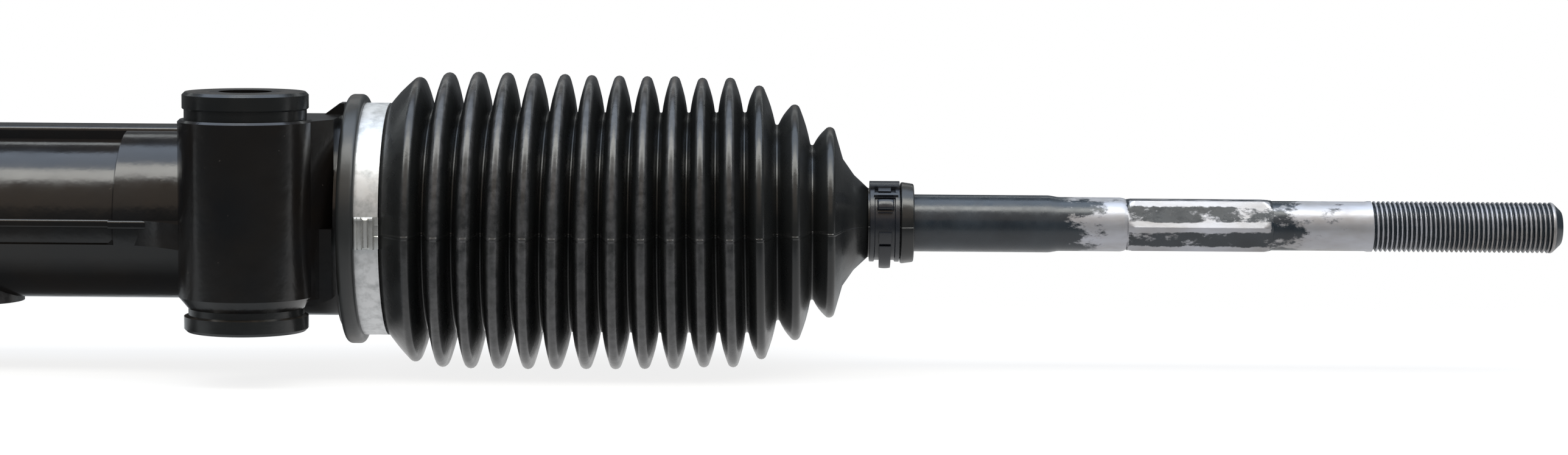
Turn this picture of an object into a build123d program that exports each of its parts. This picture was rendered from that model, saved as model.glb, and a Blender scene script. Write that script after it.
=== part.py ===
"""Rack-and-pinion steering gear with its inner tie rods.

The rack slides along X inside a cast housing that hangs on two rubber-bushed bolts, which stand along Z.
The origin lies midway between the two bolts, at the height of the rack's axis, and the rack runs behind
the bolts.  A helical pinion in a leaning tower near the left end drives the rack, a sprung yoke keeps the
two in mesh, and at each end a ball joint inside a bellows boot carries a threaded tie rod.  Millimetres.
"""
from build123d import *
import os
from math import asin, atan, cos, degrees, pi, radians, sin, sqrt, tan

# ---- Fits -------------------------------------------------------------------------------------------------
running_clearance = 0.06       # a shaft in its bush, on the radius
ball_clearance = 0.1           # a ball in its seat, and the seat in its socket
soft_gap = 0.3                 # between a moving part and soft rubber
stop_gap = 0.3                 # left at full lock between the rack's end and its stop

# ---- Mounting ---------------------------------------------------------------------------------------------
mount_spacing = 420.0          # between the two mounting bolts
rack_setback = 37.0            # from the bolts back to the rack's axis
boss_radius = 20.6
boss_top = 33.6
boss_bottom = -24.1
boss_foot_chamfer = 3.0
boss_foot_height = 3.6
bush_bore = 16.3               # radius of the boss's bore, where the rubber is pressed in
sleeve_radius = 11.0
bolt_hole_radius = 8.1
rubber_flange_radius = 19.2
rubber_neck_radius = 18.6
rubber_top_neck = 3.0          # rubber that shows between the boss and the flange
rubber_top_flange = 5.4
rubber_foot_neck = 2.4
rubber_foot_flange = 4.7
rubber_foot_radius = 18.9

# ---- Rack -------------------------------------------------------------------------------------------------
rack_radius = 14.0
travel = 70.5                  # each way from straight ahead
socket_stud_radius = 7.0
socket_stud_length = 18.0
washer_thickness = 1.5
washer_radius = 18.5

# ---- Housing ----------------------------------------------------------------------------------------------
housing_overhang = 40.0        # from each mounting bolt out to the end of the housing
rack_bore = 16.5
tube_radius = 24.5
lower_skin = 0.9               # the lower casting half stands this much proud
lower_skin_drop = 6.5
parting_rib_height = 1.2
parting_rib_width = 2.7
parting_rib_edge = 0.8         # rounding of the ribs' edges
rail_height = 4.1              # above the tube
rail_width = 16.0
rail_edge = 1.6
collar_length = 53.0
collar_step = 2.8
neck_length = 17.0
neck_radius = 30.5
spigot_length = 14.0
spigot_radius = 34.2
spigot_groove = 1.0
spigot_groove_width = 4.0
casting_radius = 1.4
stop_radius = 20.0
stop_depth = 7.0
stop_stand_out = 2.2           # the end stop stands this much out of the housing

# ---- Rack and pinion mesh ---------------------------------------------------------------------------------
travel_per_turn = 47.0
pinion_teeth = 8
pressure_angle = radians(25.0)
helix_angle = radians(15.0)
profile_shift = 0.5            # in modules
tip_relief = 0.455             # taken off the pinion's tips, so that they don't come to a point
root_clearance = 0.35
backlash = 0.14
rack_tip_height = 10.3         # from the rack's axis to the tips of its teeth
rack_tooth_count = 28
gear_half_length = 15.0
pinion_x = -130.0
pinion_lean = radians(25.0)

# ---- Pinion tower -----------------------------------------------------------------------------------------
tower_radius = 24.0
tower_top = 50.0
tower_mouth_radius = 21.8
tower_mouth_length = 8.0
tower_bottom = -42.0
tower_foot_radius = 16.5
tower_foot_length = 16.0
gear_chamber = 11.2
lower_journal = 6.0
lower_bush_radius = 9.0
lower_bush_length = 14.0
bearing_bore = 9.5
bearing_radius = 19.0
bearing_width = 11.0
bearing_seat = 20.0            # height of the bearing's lower face above the mesh
bearing_ball_radius = 3.2
bearing_ball_count = 8
race_clearance = 0.15
cage_thickness = 0.8
circlip_thickness = 1.4
circlip_depth = 1.2
seal_thickness = 6.0
shaft_radius = 9.0
shaft_shoulder = 11.0
spline_start = 82.0
spline_end = 108.0
spline_radius = 8.25
spline_depth = 0.65
spline_count = 36
shaft_waist_radius = 7.4
dust_cap_thickness = 2.0
plug_radius = 13.0
plug_length = 9.0
plug_hex = 22.0
plug_hex_height = 6.0

# ---- Yoke -------------------------------------------------------------------------------------------------
yoke_radius = 15.9
yoke_bore = 16.0
yoke_start = 7.0               # all from the rack's axis
yoke_end = 33.0
yoke_pocket_radius = 9.0
yoke_pocket_depth = 11.0
liner_thickness = 1.0
liner_half_length = 10.0
yoke_boss_radius = 23.0
yoke_boss_end = 46.0
adjuster_radius = 18.0
adjuster_inner = 35.5
adjuster_outer = 55.0
adjuster_hex = 24.0
adjuster_hex_height = 6.0
locknut_thickness = 6.0
locknut_across = 44.0
spring_wire = 1.3
spring_turns = 4.0
ring_section = 0.9             # radius of the rubber rings' section

# ---- Rack bush --------------------------------------------------------------------------------------------
rack_bush_depth = 12.0         # from the end of the housing in to the bush
rack_bush_length = 26.0

# ---- Ball joints and tie rods -----------------------------------------------------------------------------
ball_reach = 22.0              # from the rack's end to the middle of the ball
ball_radius = 14.0
seat_thickness = 1.9
socket_radius = 20.5
socket_mouth_radius = 17.0
socket_flats = 36.0
socket_flats_length = 9.0
opening_angle = radians(58.0)  # half-angle of the socket's mouth, seen from the ball's centre
rod_neck_radius = 7.5
rod_neck_reach = 18.0          # from the middle of the ball
rod_radius = 9.0
rod_shoulder = 9.0
rod_coated_length = 86.0
rod_step_radius = 8.5
rod_step_length = 24.5
hex_length = 45.5
hex_across = 15.8
rod_shank_radius = 7.8
rod_shank_length = 30.5
thread_radius = 8.0
thread_length = 58.0
rod_tip_length = 3.0
rod_tip_radius = 5.4

# ---- Boots and clamps -------------------------------------------------------------------------------------
cuff_grip = 12.7               # length of the spigot that the boot's cuff covers
lip_width = 5.4
lip_radius = 39.3
cuff_wall = 1.6
large_clamp_width = 7.4
large_clamp_thickness = 0.8
lead_in = 8.8                  # from the cuff to the crest of the first fold
fold_pitch = 9.0
even_folds = 12                # folds at the even pitch; the last two stand wider apart
wide_pitch = 10.9
first_fold_radius = 45.4
fold_radius = 47.3
last_fold_radii = (44.2, 38.0, 30.6)
valley_radius = 34.7
last_valley_radii = (30.8, 24.4)
fold_wall = 1.3
crest_rounding = 1.3
root_rounding = 0.7
tail_cone = ((4.2, 20.0), (7.7, 15.0))   # from the last crest: distance and radius
tail_reach = 12.1              # from the last crest to the tail's waist
tail_waist_radius = 10.9
tail_waist_length = 10.2
tail_bead_radius = 12.9
tail_bead_length = 4.2
small_clamp_radius = 12.3

# ---- Places worked out from the sizes ---------------------------------------------------------------------
mount_x = mount_spacing / 2
sides = (("left", -1), ("right", 1))
rack_axis = Axis((0, rack_setback, 0), (1, 0, 0))

# round the rack
rail_top = tube_radius + rail_height
collar_radius = tube_radius + collar_step

# along the rack, from the middle out
housing_half_length = mount_x + housing_overhang
spigot_start = housing_half_length - spigot_length
neck_start = spigot_start - neck_length
collar_start = neck_start - collar_length
rack_bush_end = housing_half_length - rack_bush_depth
rack_bush_start = rack_bush_end - rack_bush_length
rack_half_length = housing_half_length + stop_stand_out + stop_gap + travel
ball_x = rack_half_length + ball_reach
rod_neck_end = ball_x + rod_neck_reach
rod_shoulder_start = rod_neck_end + rod_shoulder
rod_step_start = rod_shoulder_start + rod_coated_length
hex_start = rod_step_start + rod_step_length
hex_end = hex_start + hex_length
thread_start = hex_end + rod_shank_length
thread_end = thread_start + thread_length
rod_tip = thread_end + rod_tip_length
cuff_start = housing_half_length - cuff_grip

pitch_radius = travel_per_turn / (2 * pi)
module = 2 * pitch_radius / pinion_teeth
tooth_pitch = pi * module
reference_radius = pitch_radius + profile_shift * module
rack_tip_reach = reference_radius - module          # from the pinion's axis to the rack's tooth tips
pinion_tip = reference_radius + module - tip_relief
pinion_root = rack_tip_reach - root_clearance
pinion_offset = rack_tip_height + rack_tip_reach
rack_root_height = pinion_offset - pinion_tip - root_clearance

clamp_start = cuff_start + lip_width
clamp_centre = clamp_start + large_clamp_width / 2
cuff_end = clamp_start + large_clamp_width
first_fold = cuff_end + lead_in
last_fold = first_fold + fold_pitch * even_folds + wide_pitch * (len(last_fold_radii) - 1)
tail_start = last_fold + tail_reach
tail_bead_start = tail_start + tail_waist_length
boot_end = tail_bead_start + tail_bead_length

tower_dir = Vector(0, sin(pinion_lean), cos(pinion_lean))
mesh_dir = Vector(0, -cos(pinion_lean), sin(pinion_lean))
mesh_point = Vector(pinion_x, rack_setback, 0)
pinion_centre = mesh_point + mesh_dir * pinion_offset
tower_axis = Axis(pinion_centre, tower_dir)
yoke_axis = Axis(mesh_point, mesh_dir * -1)
tower_section = Plane(origin=pinion_centre, x_dir=(1, 0, 0), z_dir=mesh_dir)
yoke_section = Plane(origin=mesh_point, x_dir=(1, 0, 0), z_dir=tower_dir)


def lengthwise(sign):
    """Section plane through the rack's axis: local x runs outward from the middle, local y straight back."""
    return Plane(origin=(0, rack_setback, 0), x_dir=(sign, 0, 0), z_dir=(0, 0, sign))


def station(sign, distance):
    """Plane across the rack at a distance from the middle: an extrusion from it grows outward."""
    return Plane(origin=(sign * distance, rack_setback, 0), x_dir=(0, 1, 0), z_dir=(sign, 0, 0))


def bolt_section(sign):
    """Section plane through a mounting bolt: local x is the radius, local y the height."""
    return Plane(origin=(sign * mount_x, 0, 0), x_dir=(1, 0, 0), z_dir=(0, -1, 0))


def bolt_axis(sign):
    return Axis((sign * mount_x, 0, 0), (0, 0, 1))


def tower_plane(height, turn=0.0):
    """Plane across the pinion at a height above the mesh, turned in radians: unturned, local y faces the rack."""
    x_dir = Vector(cos(turn), 0, 0) - mesh_dir * sin(turn)
    return Plane(origin=pinion_centre + tower_dir * height, x_dir=x_dir, z_dir=tower_dir)


def yoke_plane(depth):
    """Plane across the yoke at a distance from the rack's axis, facing away from the rack."""
    return Plane(origin=mesh_point - mesh_dir * depth, x_dir=(1, 0, 0), z_dir=mesh_dir * -1)


def keep(piece, label):
    """Name a finished piece and write it."""
    piece.part.label = label
    export_step(piece.part, f"parts/{label}.step")


os.makedirs("parts", exist_ok=True)

# ---- Housing ----------------------------------------------------------------------------------------------
end_block_front = 14.0         # how far the block beside each boss reaches forward of the bolt line
end_block_step = 0.4           # the block and its web lie this much inside the boss's two ends
end_block_top = boss_top - end_block_step
end_block_bottom = -21.4
wedge_top = 36.6               # crest of the small wedge against the boot's lip
wedge_length = 6.0
wedge_width = 8.0
gusset_bottom = -lower_skin_drop
gusset_reach = 29.0
saddle_half_width = 18.0
saddle_bottom = -20.0
saddle_top = 27.0
pad_x = 118.0
pad_radius = 16.0
pad_bottom = -26.7
tower_gusset_reach = 46.0
tower_gusset_rise = 46.0
tower_gusset_thickness = 6.0

with BuildPart() as collar:
    # raised band next to each boss, on the upper half of the casting only
    with BuildSketch(lengthwise(1)):
        with BuildLine():
            Polyline(
                (collar_start, 0),
                (collar_start, tube_radius - casting_radius),
                (collar_start + casting_radius, collar_radius),
                (neck_start, collar_radius),
                (neck_start, 0),
                close=True,
            )
        make_face()
    revolve(axis=rack_axis)
    with BuildSketch(station(1, collar_start)):
        RectangleRounded(2 * (collar_radius + parting_rib_height), parting_rib_width, parting_rib_edge)
    extrude(amount=neck_start - collar_start)
    split(bisect_by=Plane.XY.offset(-lower_skin_drop), keep=Keep.TOP)

with BuildPart() as housing:
    # the long tube, in its cross-section: round, ribbed along both parting lines, with the rail on top
    with BuildSketch(station(1, 0)) as tube_section:
        Circle(tube_radius)
        RectangleRounded(2 * (tube_radius + parting_rib_height), parting_rib_width, parting_rib_edge)
        with Locations((rail_width / 2, rail_top / 2)):
            Rectangle(rail_width, rail_top)
        fillet(tube_section.vertices().group_by(Axis.Y)[-1], rail_edge)
    extrude(amount=neck_start, both=True)
    with BuildSketch(station(1, 0)):
        Circle(tube_radius + lower_skin)
        with Locations((0, -lower_skin_drop - tube_radius)):
            Rectangle(4 * tube_radius, 2 * tube_radius, mode=Mode.INTERSECT)
    extrude(amount=neck_start, both=True)

    for name, sign in sides:
        add(collar.part if sign > 0 else collar.part.mirror(Plane.YZ))
        # neck and boot spigot, turned about the rack's axis
        with BuildSketch(lengthwise(sign)) as end_profile:
            with BuildLine():
                Polyline(
                    (neck_start - casting_radius, 0),
                    (neck_start - casting_radius, tube_radius),
                    (neck_start + 2 * casting_radius, neck_radius),
                    (spigot_start, neck_radius),
                    (spigot_start, spigot_radius),
                    (housing_half_length, spigot_radius),
                    (housing_half_length, 0),
                    close=True,
                )
            make_face()
            chamfer(end_profile.vertices().group_by(Axis.X)[-1].sort_by(Axis.Y)[-1], casting_radius / 2)
        revolve(axis=rack_axis)

        # bolt boss with a tapered foot
        with BuildSketch(bolt_section(sign)):
            with BuildLine():
                Polyline(
                    (0, boss_bottom),
                    (boss_radius - boss_foot_chamfer, boss_bottom),
                    (boss_radius, boss_bottom + boss_foot_height),
                    (boss_radius, boss_top - casting_radius / 2),
                    (boss_radius - casting_radius / 2, boss_top),
                    (0, boss_top),
                    close=True,
                )
            make_face()
        revolve(axis=bolt_axis(sign))
        # saddle from the boss back to the tube
        with BuildSketch(Plane.XY.offset(saddle_bottom)):
            with Locations((sign * mount_x, rack_setback / 2)):
                Rectangle(2 * saddle_half_width, rack_setback)
        extrude(amount=saddle_top - saddle_bottom)
        # block from the boss out to the spigot's flange
        with BuildSketch(Plane.XY.offset(end_block_bottom)) as end_block:
            with BuildLine():
                Polyline(
                    (sign * mount_x, -end_block_front),
                    (sign * (mount_x + boss_radius - 4.0), -end_block_front + 4.0),
                    (sign * spigot_start, rack_setback - neck_radius),
                    (sign * spigot_start, rack_setback),
                    (sign * mount_x, rack_setback),
                    close=True,
                )
            make_face()
        extrude(amount=end_block_top - end_block_bottom)
        # web under the block, from the boss's foot up to the spigot
        with BuildSketch(Plane.XZ):
            with BuildLine():
                Polyline(
                    (sign * mount_x, 0),
                    (sign * mount_x, boss_bottom + end_block_step),
                    (sign * (mount_x + boss_radius), boss_bottom + end_block_step),
                    (sign * spigot_start, end_block_bottom),
                    (sign * spigot_start, 0),
                    close=True,
                )
            make_face()
        extrude(amount=-rack_setback)
        # wedge that rises from the block to the boot's lip
        with BuildSketch(Plane.XZ.offset(-rack_setback)):
            with BuildLine():
                Polyline(
                    (sign * (spigot_start - wedge_length), 0),
                    (sign * (spigot_start - wedge_length), end_block_top),
                    (sign * (spigot_start - casting_radius), wedge_top),
                    (sign * spigot_start, wedge_top),
                    (sign * spigot_start, 0),
                    close=True,
                )
            make_face()
        extrude(amount=wedge_width / 2, both=True)
        # curved gusset in the corner between the tube and the boss
        with BuildSketch(Plane.XY.offset(gusset_bottom)):
            tube_front = rack_setback - tube_radius
            with BuildLine():
                corner = (sign * mount_x, tube_front + casting_radius)
                near = (sign * (mount_x - boss_radius - gusset_reach), tube_front + casting_radius)
                far = (sign * mount_x, -boss_radius / 2)
                inner = (sign * (mount_x - boss_radius * 0.8), -boss_radius / 2)
                Line(corner, near)
                ThreePointArc(near, (sign * (mount_x - boss_radius * 1.35), tube_front * 0.42), inner)
                Polyline(inner, far, corner)
            make_face()
        extrude(amount=parting_rib_width / 2 - gusset_bottom)

    # round casting pad under the tube
    with BuildSketch(Plane.XY.offset(pad_bottom)):
        with Locations((pad_x, rack_setback)):
            Circle(pad_radius)
    extrude(amount=-pad_bottom - rack_bore / 2)

    # pinion tower, turned about the pinion's axis, and the gussets that stiffen it along the tube
    with BuildSketch(tower_section):
        with BuildLine():
            Polyline(
                (0, tower_bottom),
                (tower_foot_radius, tower_bottom),
                (tower_foot_radius, tower_bottom + tower_foot_length),
                (tower_radius, tower_bottom + tower_foot_length + 5.0),
                (tower_radius, tower_top - tower_mouth_length - 1.5),
                (tower_radius - 1.5, tower_top - tower_mouth_length),
                (tower_mouth_radius, tower_top - tower_mouth_length),
                (tower_mouth_radius, tower_top - 1.0),
                (tower_mouth_radius - 1.0, tower_top),
                (0, tower_top),
                close=True,
            )
        make_face()
    revolve(axis=tower_axis)
    with BuildSketch(Plane(origin=mesh_point + mesh_dir * pinion_offset / 2, x_dir=(1, 0, 0), z_dir=mesh_dir)):
        with BuildLine():
            Polyline(
                (-tower_gusset_reach, 0),
                (-tower_gusset_reach, tube_radius * 0.8),
                (-tower_radius + 2.0, tower_gusset_rise * 0.8),
                (tower_radius - 2.0, tower_gusset_rise * 0.8),
                (tower_gusset_reach, tube_radius * 0.8),
                (tower_gusset_reach, 0),
                close=True,
            )
        make_face()
    extrude(amount=tower_gusset_thickness / 2, both=True)

    # yoke boss on the far side of the rack
    with BuildSketch(yoke_section):
        with BuildLine():
            Polyline(
                (0, 0),
                (yoke_boss_radius + 1.5, 0),
                (yoke_boss_radius, yoke_boss_end - 1.0),
                (yoke_boss_radius - 1.0, yoke_boss_end),
                (0, yoke_boss_end),
                close=True,
            )
        make_face()
    revolve(axis=yoke_axis)

    # bores: rack, end stops, bolts, pinion and yoke
    with BuildSketch(station(1, 0)):
        Circle(rack_bore)
    extrude(amount=housing_half_length, both=True, mode=Mode.SUBTRACT)
    for name, sign in sides:
        with BuildSketch(station(sign, housing_half_length - stop_depth)):
            Circle(stop_radius)
        extrude(amount=stop_depth, mode=Mode.SUBTRACT)
        with BuildSketch(Plane.XY.offset(boss_bottom)):
            with Locations((sign * mount_x, 0)):
                Circle(bush_bore)
        extrude(amount=boss_top - boss_bottom, mode=Mode.SUBTRACT)
        with BuildSketch(lengthwise(sign)):
            with Locations((clamp_centre, spigot_radius)):
                Rectangle(spigot_groove_width, 2 * spigot_groove)
        revolve(axis=rack_axis, mode=Mode.SUBTRACT)
    with BuildSketch(tower_section):
        with BuildLine():
            Polyline(
                (0, tower_bottom),
                (plug_radius, tower_bottom),
                (plug_radius, tower_bottom + plug_length),
                (lower_bush_radius, tower_bottom + plug_length),
                (lower_bush_radius, -gear_half_length - 3.0),
                (gear_chamber, -gear_half_length - 3.0),
                (gear_chamber, gear_half_length + 2.0),
                (bearing_radius - 2.5, gear_half_length + 2.0),
                (bearing_radius - 2.5, bearing_seat),
                (bearing_radius, bearing_seat),
                (bearing_radius, tower_top),
                (0, tower_top),
                close=True,
            )
        make_face()
    revolve(axis=tower_axis, mode=Mode.SUBTRACT)
    with BuildSketch(tower_plane(bearing_seat + bearing_width)):
        Circle(bearing_radius + circlip_depth)
    extrude(amount=circlip_thickness, mode=Mode.SUBTRACT)
    with BuildSketch(yoke_plane(0)):
        Circle(yoke_bore)
    extrude(amount=yoke_boss_end, mode=Mode.SUBTRACT)
    with BuildSketch(yoke_plane(adjuster_inner - 1.0)):
        Circle(adjuster_radius)
    extrude(amount=yoke_boss_end - adjuster_inner + 1.0, mode=Mode.SUBTRACT)
keep(housing, "housing")


# ---- Mounting bushes --------------------------------------------------------------------------------------
rubber_edge = 0.9
for name, sign in sides:
    rubber_top = boss_top + rubber_top_neck + rubber_top_flange
    rubber_foot = boss_bottom - rubber_foot_neck - rubber_foot_flange
    with BuildPart() as rubber:
        with BuildSketch(bolt_section(sign)):
            with BuildLine():
                Polyline(
                    (sleeve_radius, rubber_foot),
                    (rubber_foot_radius - rubber_edge, rubber_foot),
                    (rubber_foot_radius, rubber_foot + rubber_edge),
                    (rubber_foot_radius, boss_bottom - rubber_foot_neck),
                    (boss_radius - boss_foot_chamfer, boss_bottom - rubber_foot_neck + rubber_edge / 2),
                    (boss_radius - boss_foot_chamfer, boss_bottom),
                    (bush_bore, boss_bottom),
                    (bush_bore, boss_top),
                    (rubber_neck_radius, boss_top),
                    (rubber_neck_radius, boss_top + rubber_top_neck),
                    (rubber_flange_radius, boss_top + rubber_top_neck + rubber_edge / 2),
                    (rubber_flange_radius, rubber_top - rubber_edge),
                    (rubber_flange_radius - rubber_edge, rubber_top),
                    (sleeve_radius, rubber_top),
                    close=True,
                )
            make_face()
        revolve(axis=bolt_axis(sign))
    keep(rubber, f"{name}_mount_rubber")

    with BuildPart() as sleeve:
        with BuildSketch(Plane.XY.offset(rubber_foot)):
            with Locations((sign * mount_x, 0)):
                Circle(sleeve_radius)
                Circle(bolt_hole_radius, mode=Mode.SUBTRACT)
        extrude(amount=rubber_top - rubber_foot)
    keep(sleeve, f"{name}_mount_sleeve")

# ---- Rack bar ---------------------------------------------------------------------------------------------
mesh_section = Plane(origin=mesh_point, x_dir=(1, 0, 0), z_dir=tower_dir * -1)
rack_reference = pinion_offset - reference_radius   # height of the rack's reference line over its axis
rack_chamfer = 1.5


def space_half_width(height):
    """Half the width of the space between two rack teeth, at a height over the rack's axis."""
    return (tooth_pitch + backlash) / 4 + (height - rack_reference) * tan(pressure_angle)


with BuildPart() as rack_bar:
    with BuildSketch(station(1, -rack_half_length)):
        Circle(rack_radius)
    extrude(amount=2 * rack_half_length)
    chamfer(rack_bar.edges().filter_by(GeomType.CIRCLE), rack_chamfer)
    for name, sign in sides:
        with BuildSketch(station(sign, rack_half_length - socket_stud_length)):
            Circle(socket_stud_radius)
        extrude(amount=socket_stud_length, mode=Mode.SUBTRACT)
    # flat along the toothed stretch
    with BuildSketch(mesh_section):
        with Locations((0, rack_tip_height + rack_radius / 2)):
            Rectangle(rack_tooth_count * tooth_pitch, rack_radius)
    extrude(amount=rack_radius, both=True, mode=Mode.SUBTRACT)
    # slanting spaces between the teeth; a tooth's middle faces the pinion when the steering is straight
    top_height = rack_tip_height + 1.0
    slant = Vector(sin(helix_angle), 0, 0) + tower_dir * -cos(helix_angle)
    with BuildSketch(mesh_section) as spaces:
        first_space = -(rack_tooth_count - 1) / 2 * tooth_pitch
        for index in range(rack_tooth_count):
            with BuildLine(Plane((first_space + index * tooth_pitch, 0))):
                Polyline(
                    (-space_half_width(rack_root_height), rack_root_height),
                    (space_half_width(rack_root_height), rack_root_height),
                    (space_half_width(top_height), top_height),
                    (-space_half_width(top_height), top_height),
                    close=True,
                )
            make_face()
    for space in spaces.sketch.faces():
        extrude(space, amount=rack_radius / cos(helix_angle), dir=slant, both=True, mode=Mode.SUBTRACT)
keep(rack_bar, "rack_bar")

# ---- Pinion -----------------------------------------------------------------------------------------------
twist = 2 * gear_half_length * tan(helix_angle) / pitch_radius
base_radius = pitch_radius * cos(pressure_angle)
half_tooth = pi / (2 * pinion_teeth) + (2 * profile_shift * tan(pressure_angle) - backlash / (2 * module)) \
    / pinion_teeth
flank_steps = 4
tooth_step = 2 * pi / pinion_teeth


def involute(radius):
    """Angle by which a flank has curled away from its base, in radians."""
    unrolled = sqrt(max((radius / base_radius) ** 2 - 1, 0))
    return unrolled - atan(unrolled)


def flank_point(centre_angle, side, radius):
    """Point on one flank of the tooth whose middle stands at centre_angle."""
    half_angle = half_tooth + involute(pitch_radius) - involute(max(radius, base_radius))
    angle = centre_angle + side * half_angle
    return (radius * cos(angle), radius * sin(angle))


gear_plane = tower_plane(-gear_half_length, -twist / 2)
with BuildSketch(gear_plane) as gear_section:
    with BuildLine():
        for tooth in range(pinion_teeth):
            middle = pi / 2 + (tooth + 0.5) * tooth_step
            radii = [base_radius + (pinion_tip - base_radius) * step / flank_steps
                     for step in range(flank_steps + 1)]
            Line(flank_point(middle, -1, pinion_root), flank_point(middle, -1, base_radius))
            Spline([flank_point(middle, -1, radius) for radius in radii])
            ThreePointArc(
                flank_point(middle, -1, pinion_tip),
                (pinion_tip * cos(middle), pinion_tip * sin(middle)),
                flank_point(middle, 1, pinion_tip),
            )
            Spline([flank_point(middle, 1, radius) for radius in reversed(radii)])
            Line(flank_point(middle, 1, base_radius), flank_point(middle, 1, pinion_root))
            root_middle = middle + tooth_step / 2
            ThreePointArc(
                flank_point(middle, 1, pinion_root),
                (pinion_root * cos(root_middle), pinion_root * sin(root_middle)),
                flank_point(middle + tooth_step, -1, pinion_root),
            )
    make_face()

shaft_foot = tower_bottom + plug_length + 1.0
shaft_bearing_top = bearing_seat + bearing_width
clamp_groove = 93.0
clamp_groove_width = 8.0
with BuildPart() as pinion_shaft:
    add(Solid.extrude_linear_with_rotation(
        gear_section.sketch.faces()[0], gear_plane.origin, tower_dir * 2 * gear_half_length, degrees(twist)))
    with BuildSketch(tower_section):
        with BuildLine():
            Polyline(
                (0, shaft_foot),
                (lower_journal - 0.8, shaft_foot),
                (lower_journal, shaft_foot + 0.8),
                (lower_journal, -gear_half_length),
                (pinion_root - 0.1, -gear_half_length),
                (pinion_root - 0.1, gear_half_length),
                (shaft_shoulder, gear_half_length + 2.5),
                (shaft_shoulder, bearing_seat),
                (bearing_bore, bearing_seat),
                (bearing_bore, shaft_bearing_top),
                (shaft_radius, shaft_bearing_top),
                (shaft_radius, tower_top + 12.0),
                (shaft_waist_radius, tower_top + 14.0),
                (shaft_waist_radius, spline_start - 2.0),
                (spline_radius - spline_depth, spline_start),
                (spline_radius - spline_depth, spline_end),
                (0, spline_end),
                close=True,
            )
        make_face()
    revolve(axis=tower_axis)
    with BuildSketch(tower_plane(spline_start)):
        with BuildLine():
            teeth = []
            for tooth in range(spline_count):
                crest = 2 * pi * tooth / spline_count
                valley = crest + pi / spline_count
                teeth.append((spline_radius * cos(crest), spline_radius * sin(crest)))
                teeth.append(((spline_radius - spline_depth) * cos(valley),
                              (spline_radius - spline_depth) * sin(valley)))
            Polyline(teeth, close=True)
        make_face()
    extrude(amount=spline_end - spline_start)
    # groove for the coupling's pinch bolt
    with BuildSketch(tower_section):
        with Locations((spline_radius, clamp_groove + clamp_groove_width / 2)):
            Rectangle(2.4 * spline_depth, clamp_groove_width)
    revolve(axis=tower_axis, mode=Mode.SUBTRACT)
keep(pinion_shaft, "pinion_shaft")

# ---- Pinion bearings --------------------------------------------------------------------------------------
with BuildPart() as lower_bush:
    with BuildSketch(tower_plane(tower_bottom + plug_length + 0.5)):
        Circle(lower_bush_radius)
        Circle(lower_journal + running_clearance, mode=Mode.SUBTRACT)
    extrude(amount=lower_bush_length)
keep(lower_bush, "pinion_lower_bush")

ball_circle = (bearing_bore + bearing_radius) / 2
ball_height = bearing_seat + bearing_width / 2
race_radius = bearing_ball_radius + race_clearance
ring_shoulder = 0.75 * bearing_ball_radius     # how far each ring stays clear of the ball circle
for label, inner, outer in (
    ("pinion_bearing_outer_ring", ball_circle + ring_shoulder, bearing_radius),
    ("pinion_bearing_inner_ring", bearing_bore, ball_circle - ring_shoulder),
):
    with BuildPart() as ring:
        with BuildSketch(tower_section):
            with Locations(((inner + outer) / 2, ball_height)):
                Rectangle(outer - inner, bearing_width)
            with Locations((ball_circle, ball_height)):
                Circle(race_radius, mode=Mode.SUBTRACT)
        revolve(axis=tower_axis)
    keep(ring, label)

with BuildPart() as balls:
    with Locations(tower_plane(ball_height)):
        with PolarLocations(ball_circle, bearing_ball_count):
            Sphere(bearing_ball_radius)
keep(balls, "pinion_bearing_balls")

with BuildPart() as cage:
    cage_height = 2.5 * bearing_ball_radius
    with BuildSketch(tower_plane(ball_height - cage_height / 2)):
        Circle(ball_circle + cage_thickness / 2)
        Circle(ball_circle - cage_thickness / 2, mode=Mode.SUBTRACT)
    extrude(amount=cage_height)
    for index in range(bearing_ball_count):
        outward = tower_plane(ball_height, 2 * pi * index / bearing_ball_count)
        with BuildSketch(Plane(origin=outward.origin, x_dir=tower_dir, z_dir=outward.x_dir)):
            Circle(bearing_ball_radius + race_clearance / 2)
        extrude(amount=bearing_radius, mode=Mode.SUBTRACT)
keep(cage, "pinion_bearing_cage")

# ---- Circlip, seal, dust cap and end plug -----------------------------------------------------------------
with BuildPart() as circlip:
    circlip_inner = bearing_radius - 2.4
    with BuildSketch(tower_plane(shaft_bearing_top)):
        Circle(bearing_radius + circlip_depth)
        Circle(circlip_inner, mode=Mode.SUBTRACT)
        with Locations((bearing_radius, 0)):
            Rectangle(8.0, 7.0, mode=Mode.SUBTRACT)
        # the two lugs with their plier holes
        with Locations((circlip_inner - 0.2, 5.4), (circlip_inner - 0.2, -5.4)):
            Circle(2.0)
            Circle(0.8, mode=Mode.SUBTRACT)
    extrude(amount=circlip_thickness)
keep(circlip, "pinion_circlip")

seal_top = tower_top - 4.0
seal_foot = seal_top - seal_thickness
seal_wall = 1.6
seal_lip = shaft_radius + soft_gap / 2
with BuildPart() as seal:
    with BuildSketch(tower_section):
        with BuildLine():
            Polyline(
                (bearing_radius, seal_foot),
                (bearing_radius, seal_top),
                (seal_lip + 0.8, seal_top),
                (seal_lip, seal_top - 1.0),
                (seal_lip + 0.6, seal_top - seal_wall),
                (seal_lip + 2.2, seal_top - seal_wall),
                (seal_lip + 1.0, seal_foot + 0.6),
                (seal_lip, seal_foot + 1.0),
                (seal_lip + 1.4, seal_foot),
                (seal_lip + 3.8, seal_top - seal_wall),
                (bearing_radius - seal_wall, seal_top - seal_wall),
                (bearing_radius - seal_wall, seal_foot),
                close=True,
            )
        make_face()
    revolve(axis=tower_axis)
keep(seal, "pinion_seal")

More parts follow.
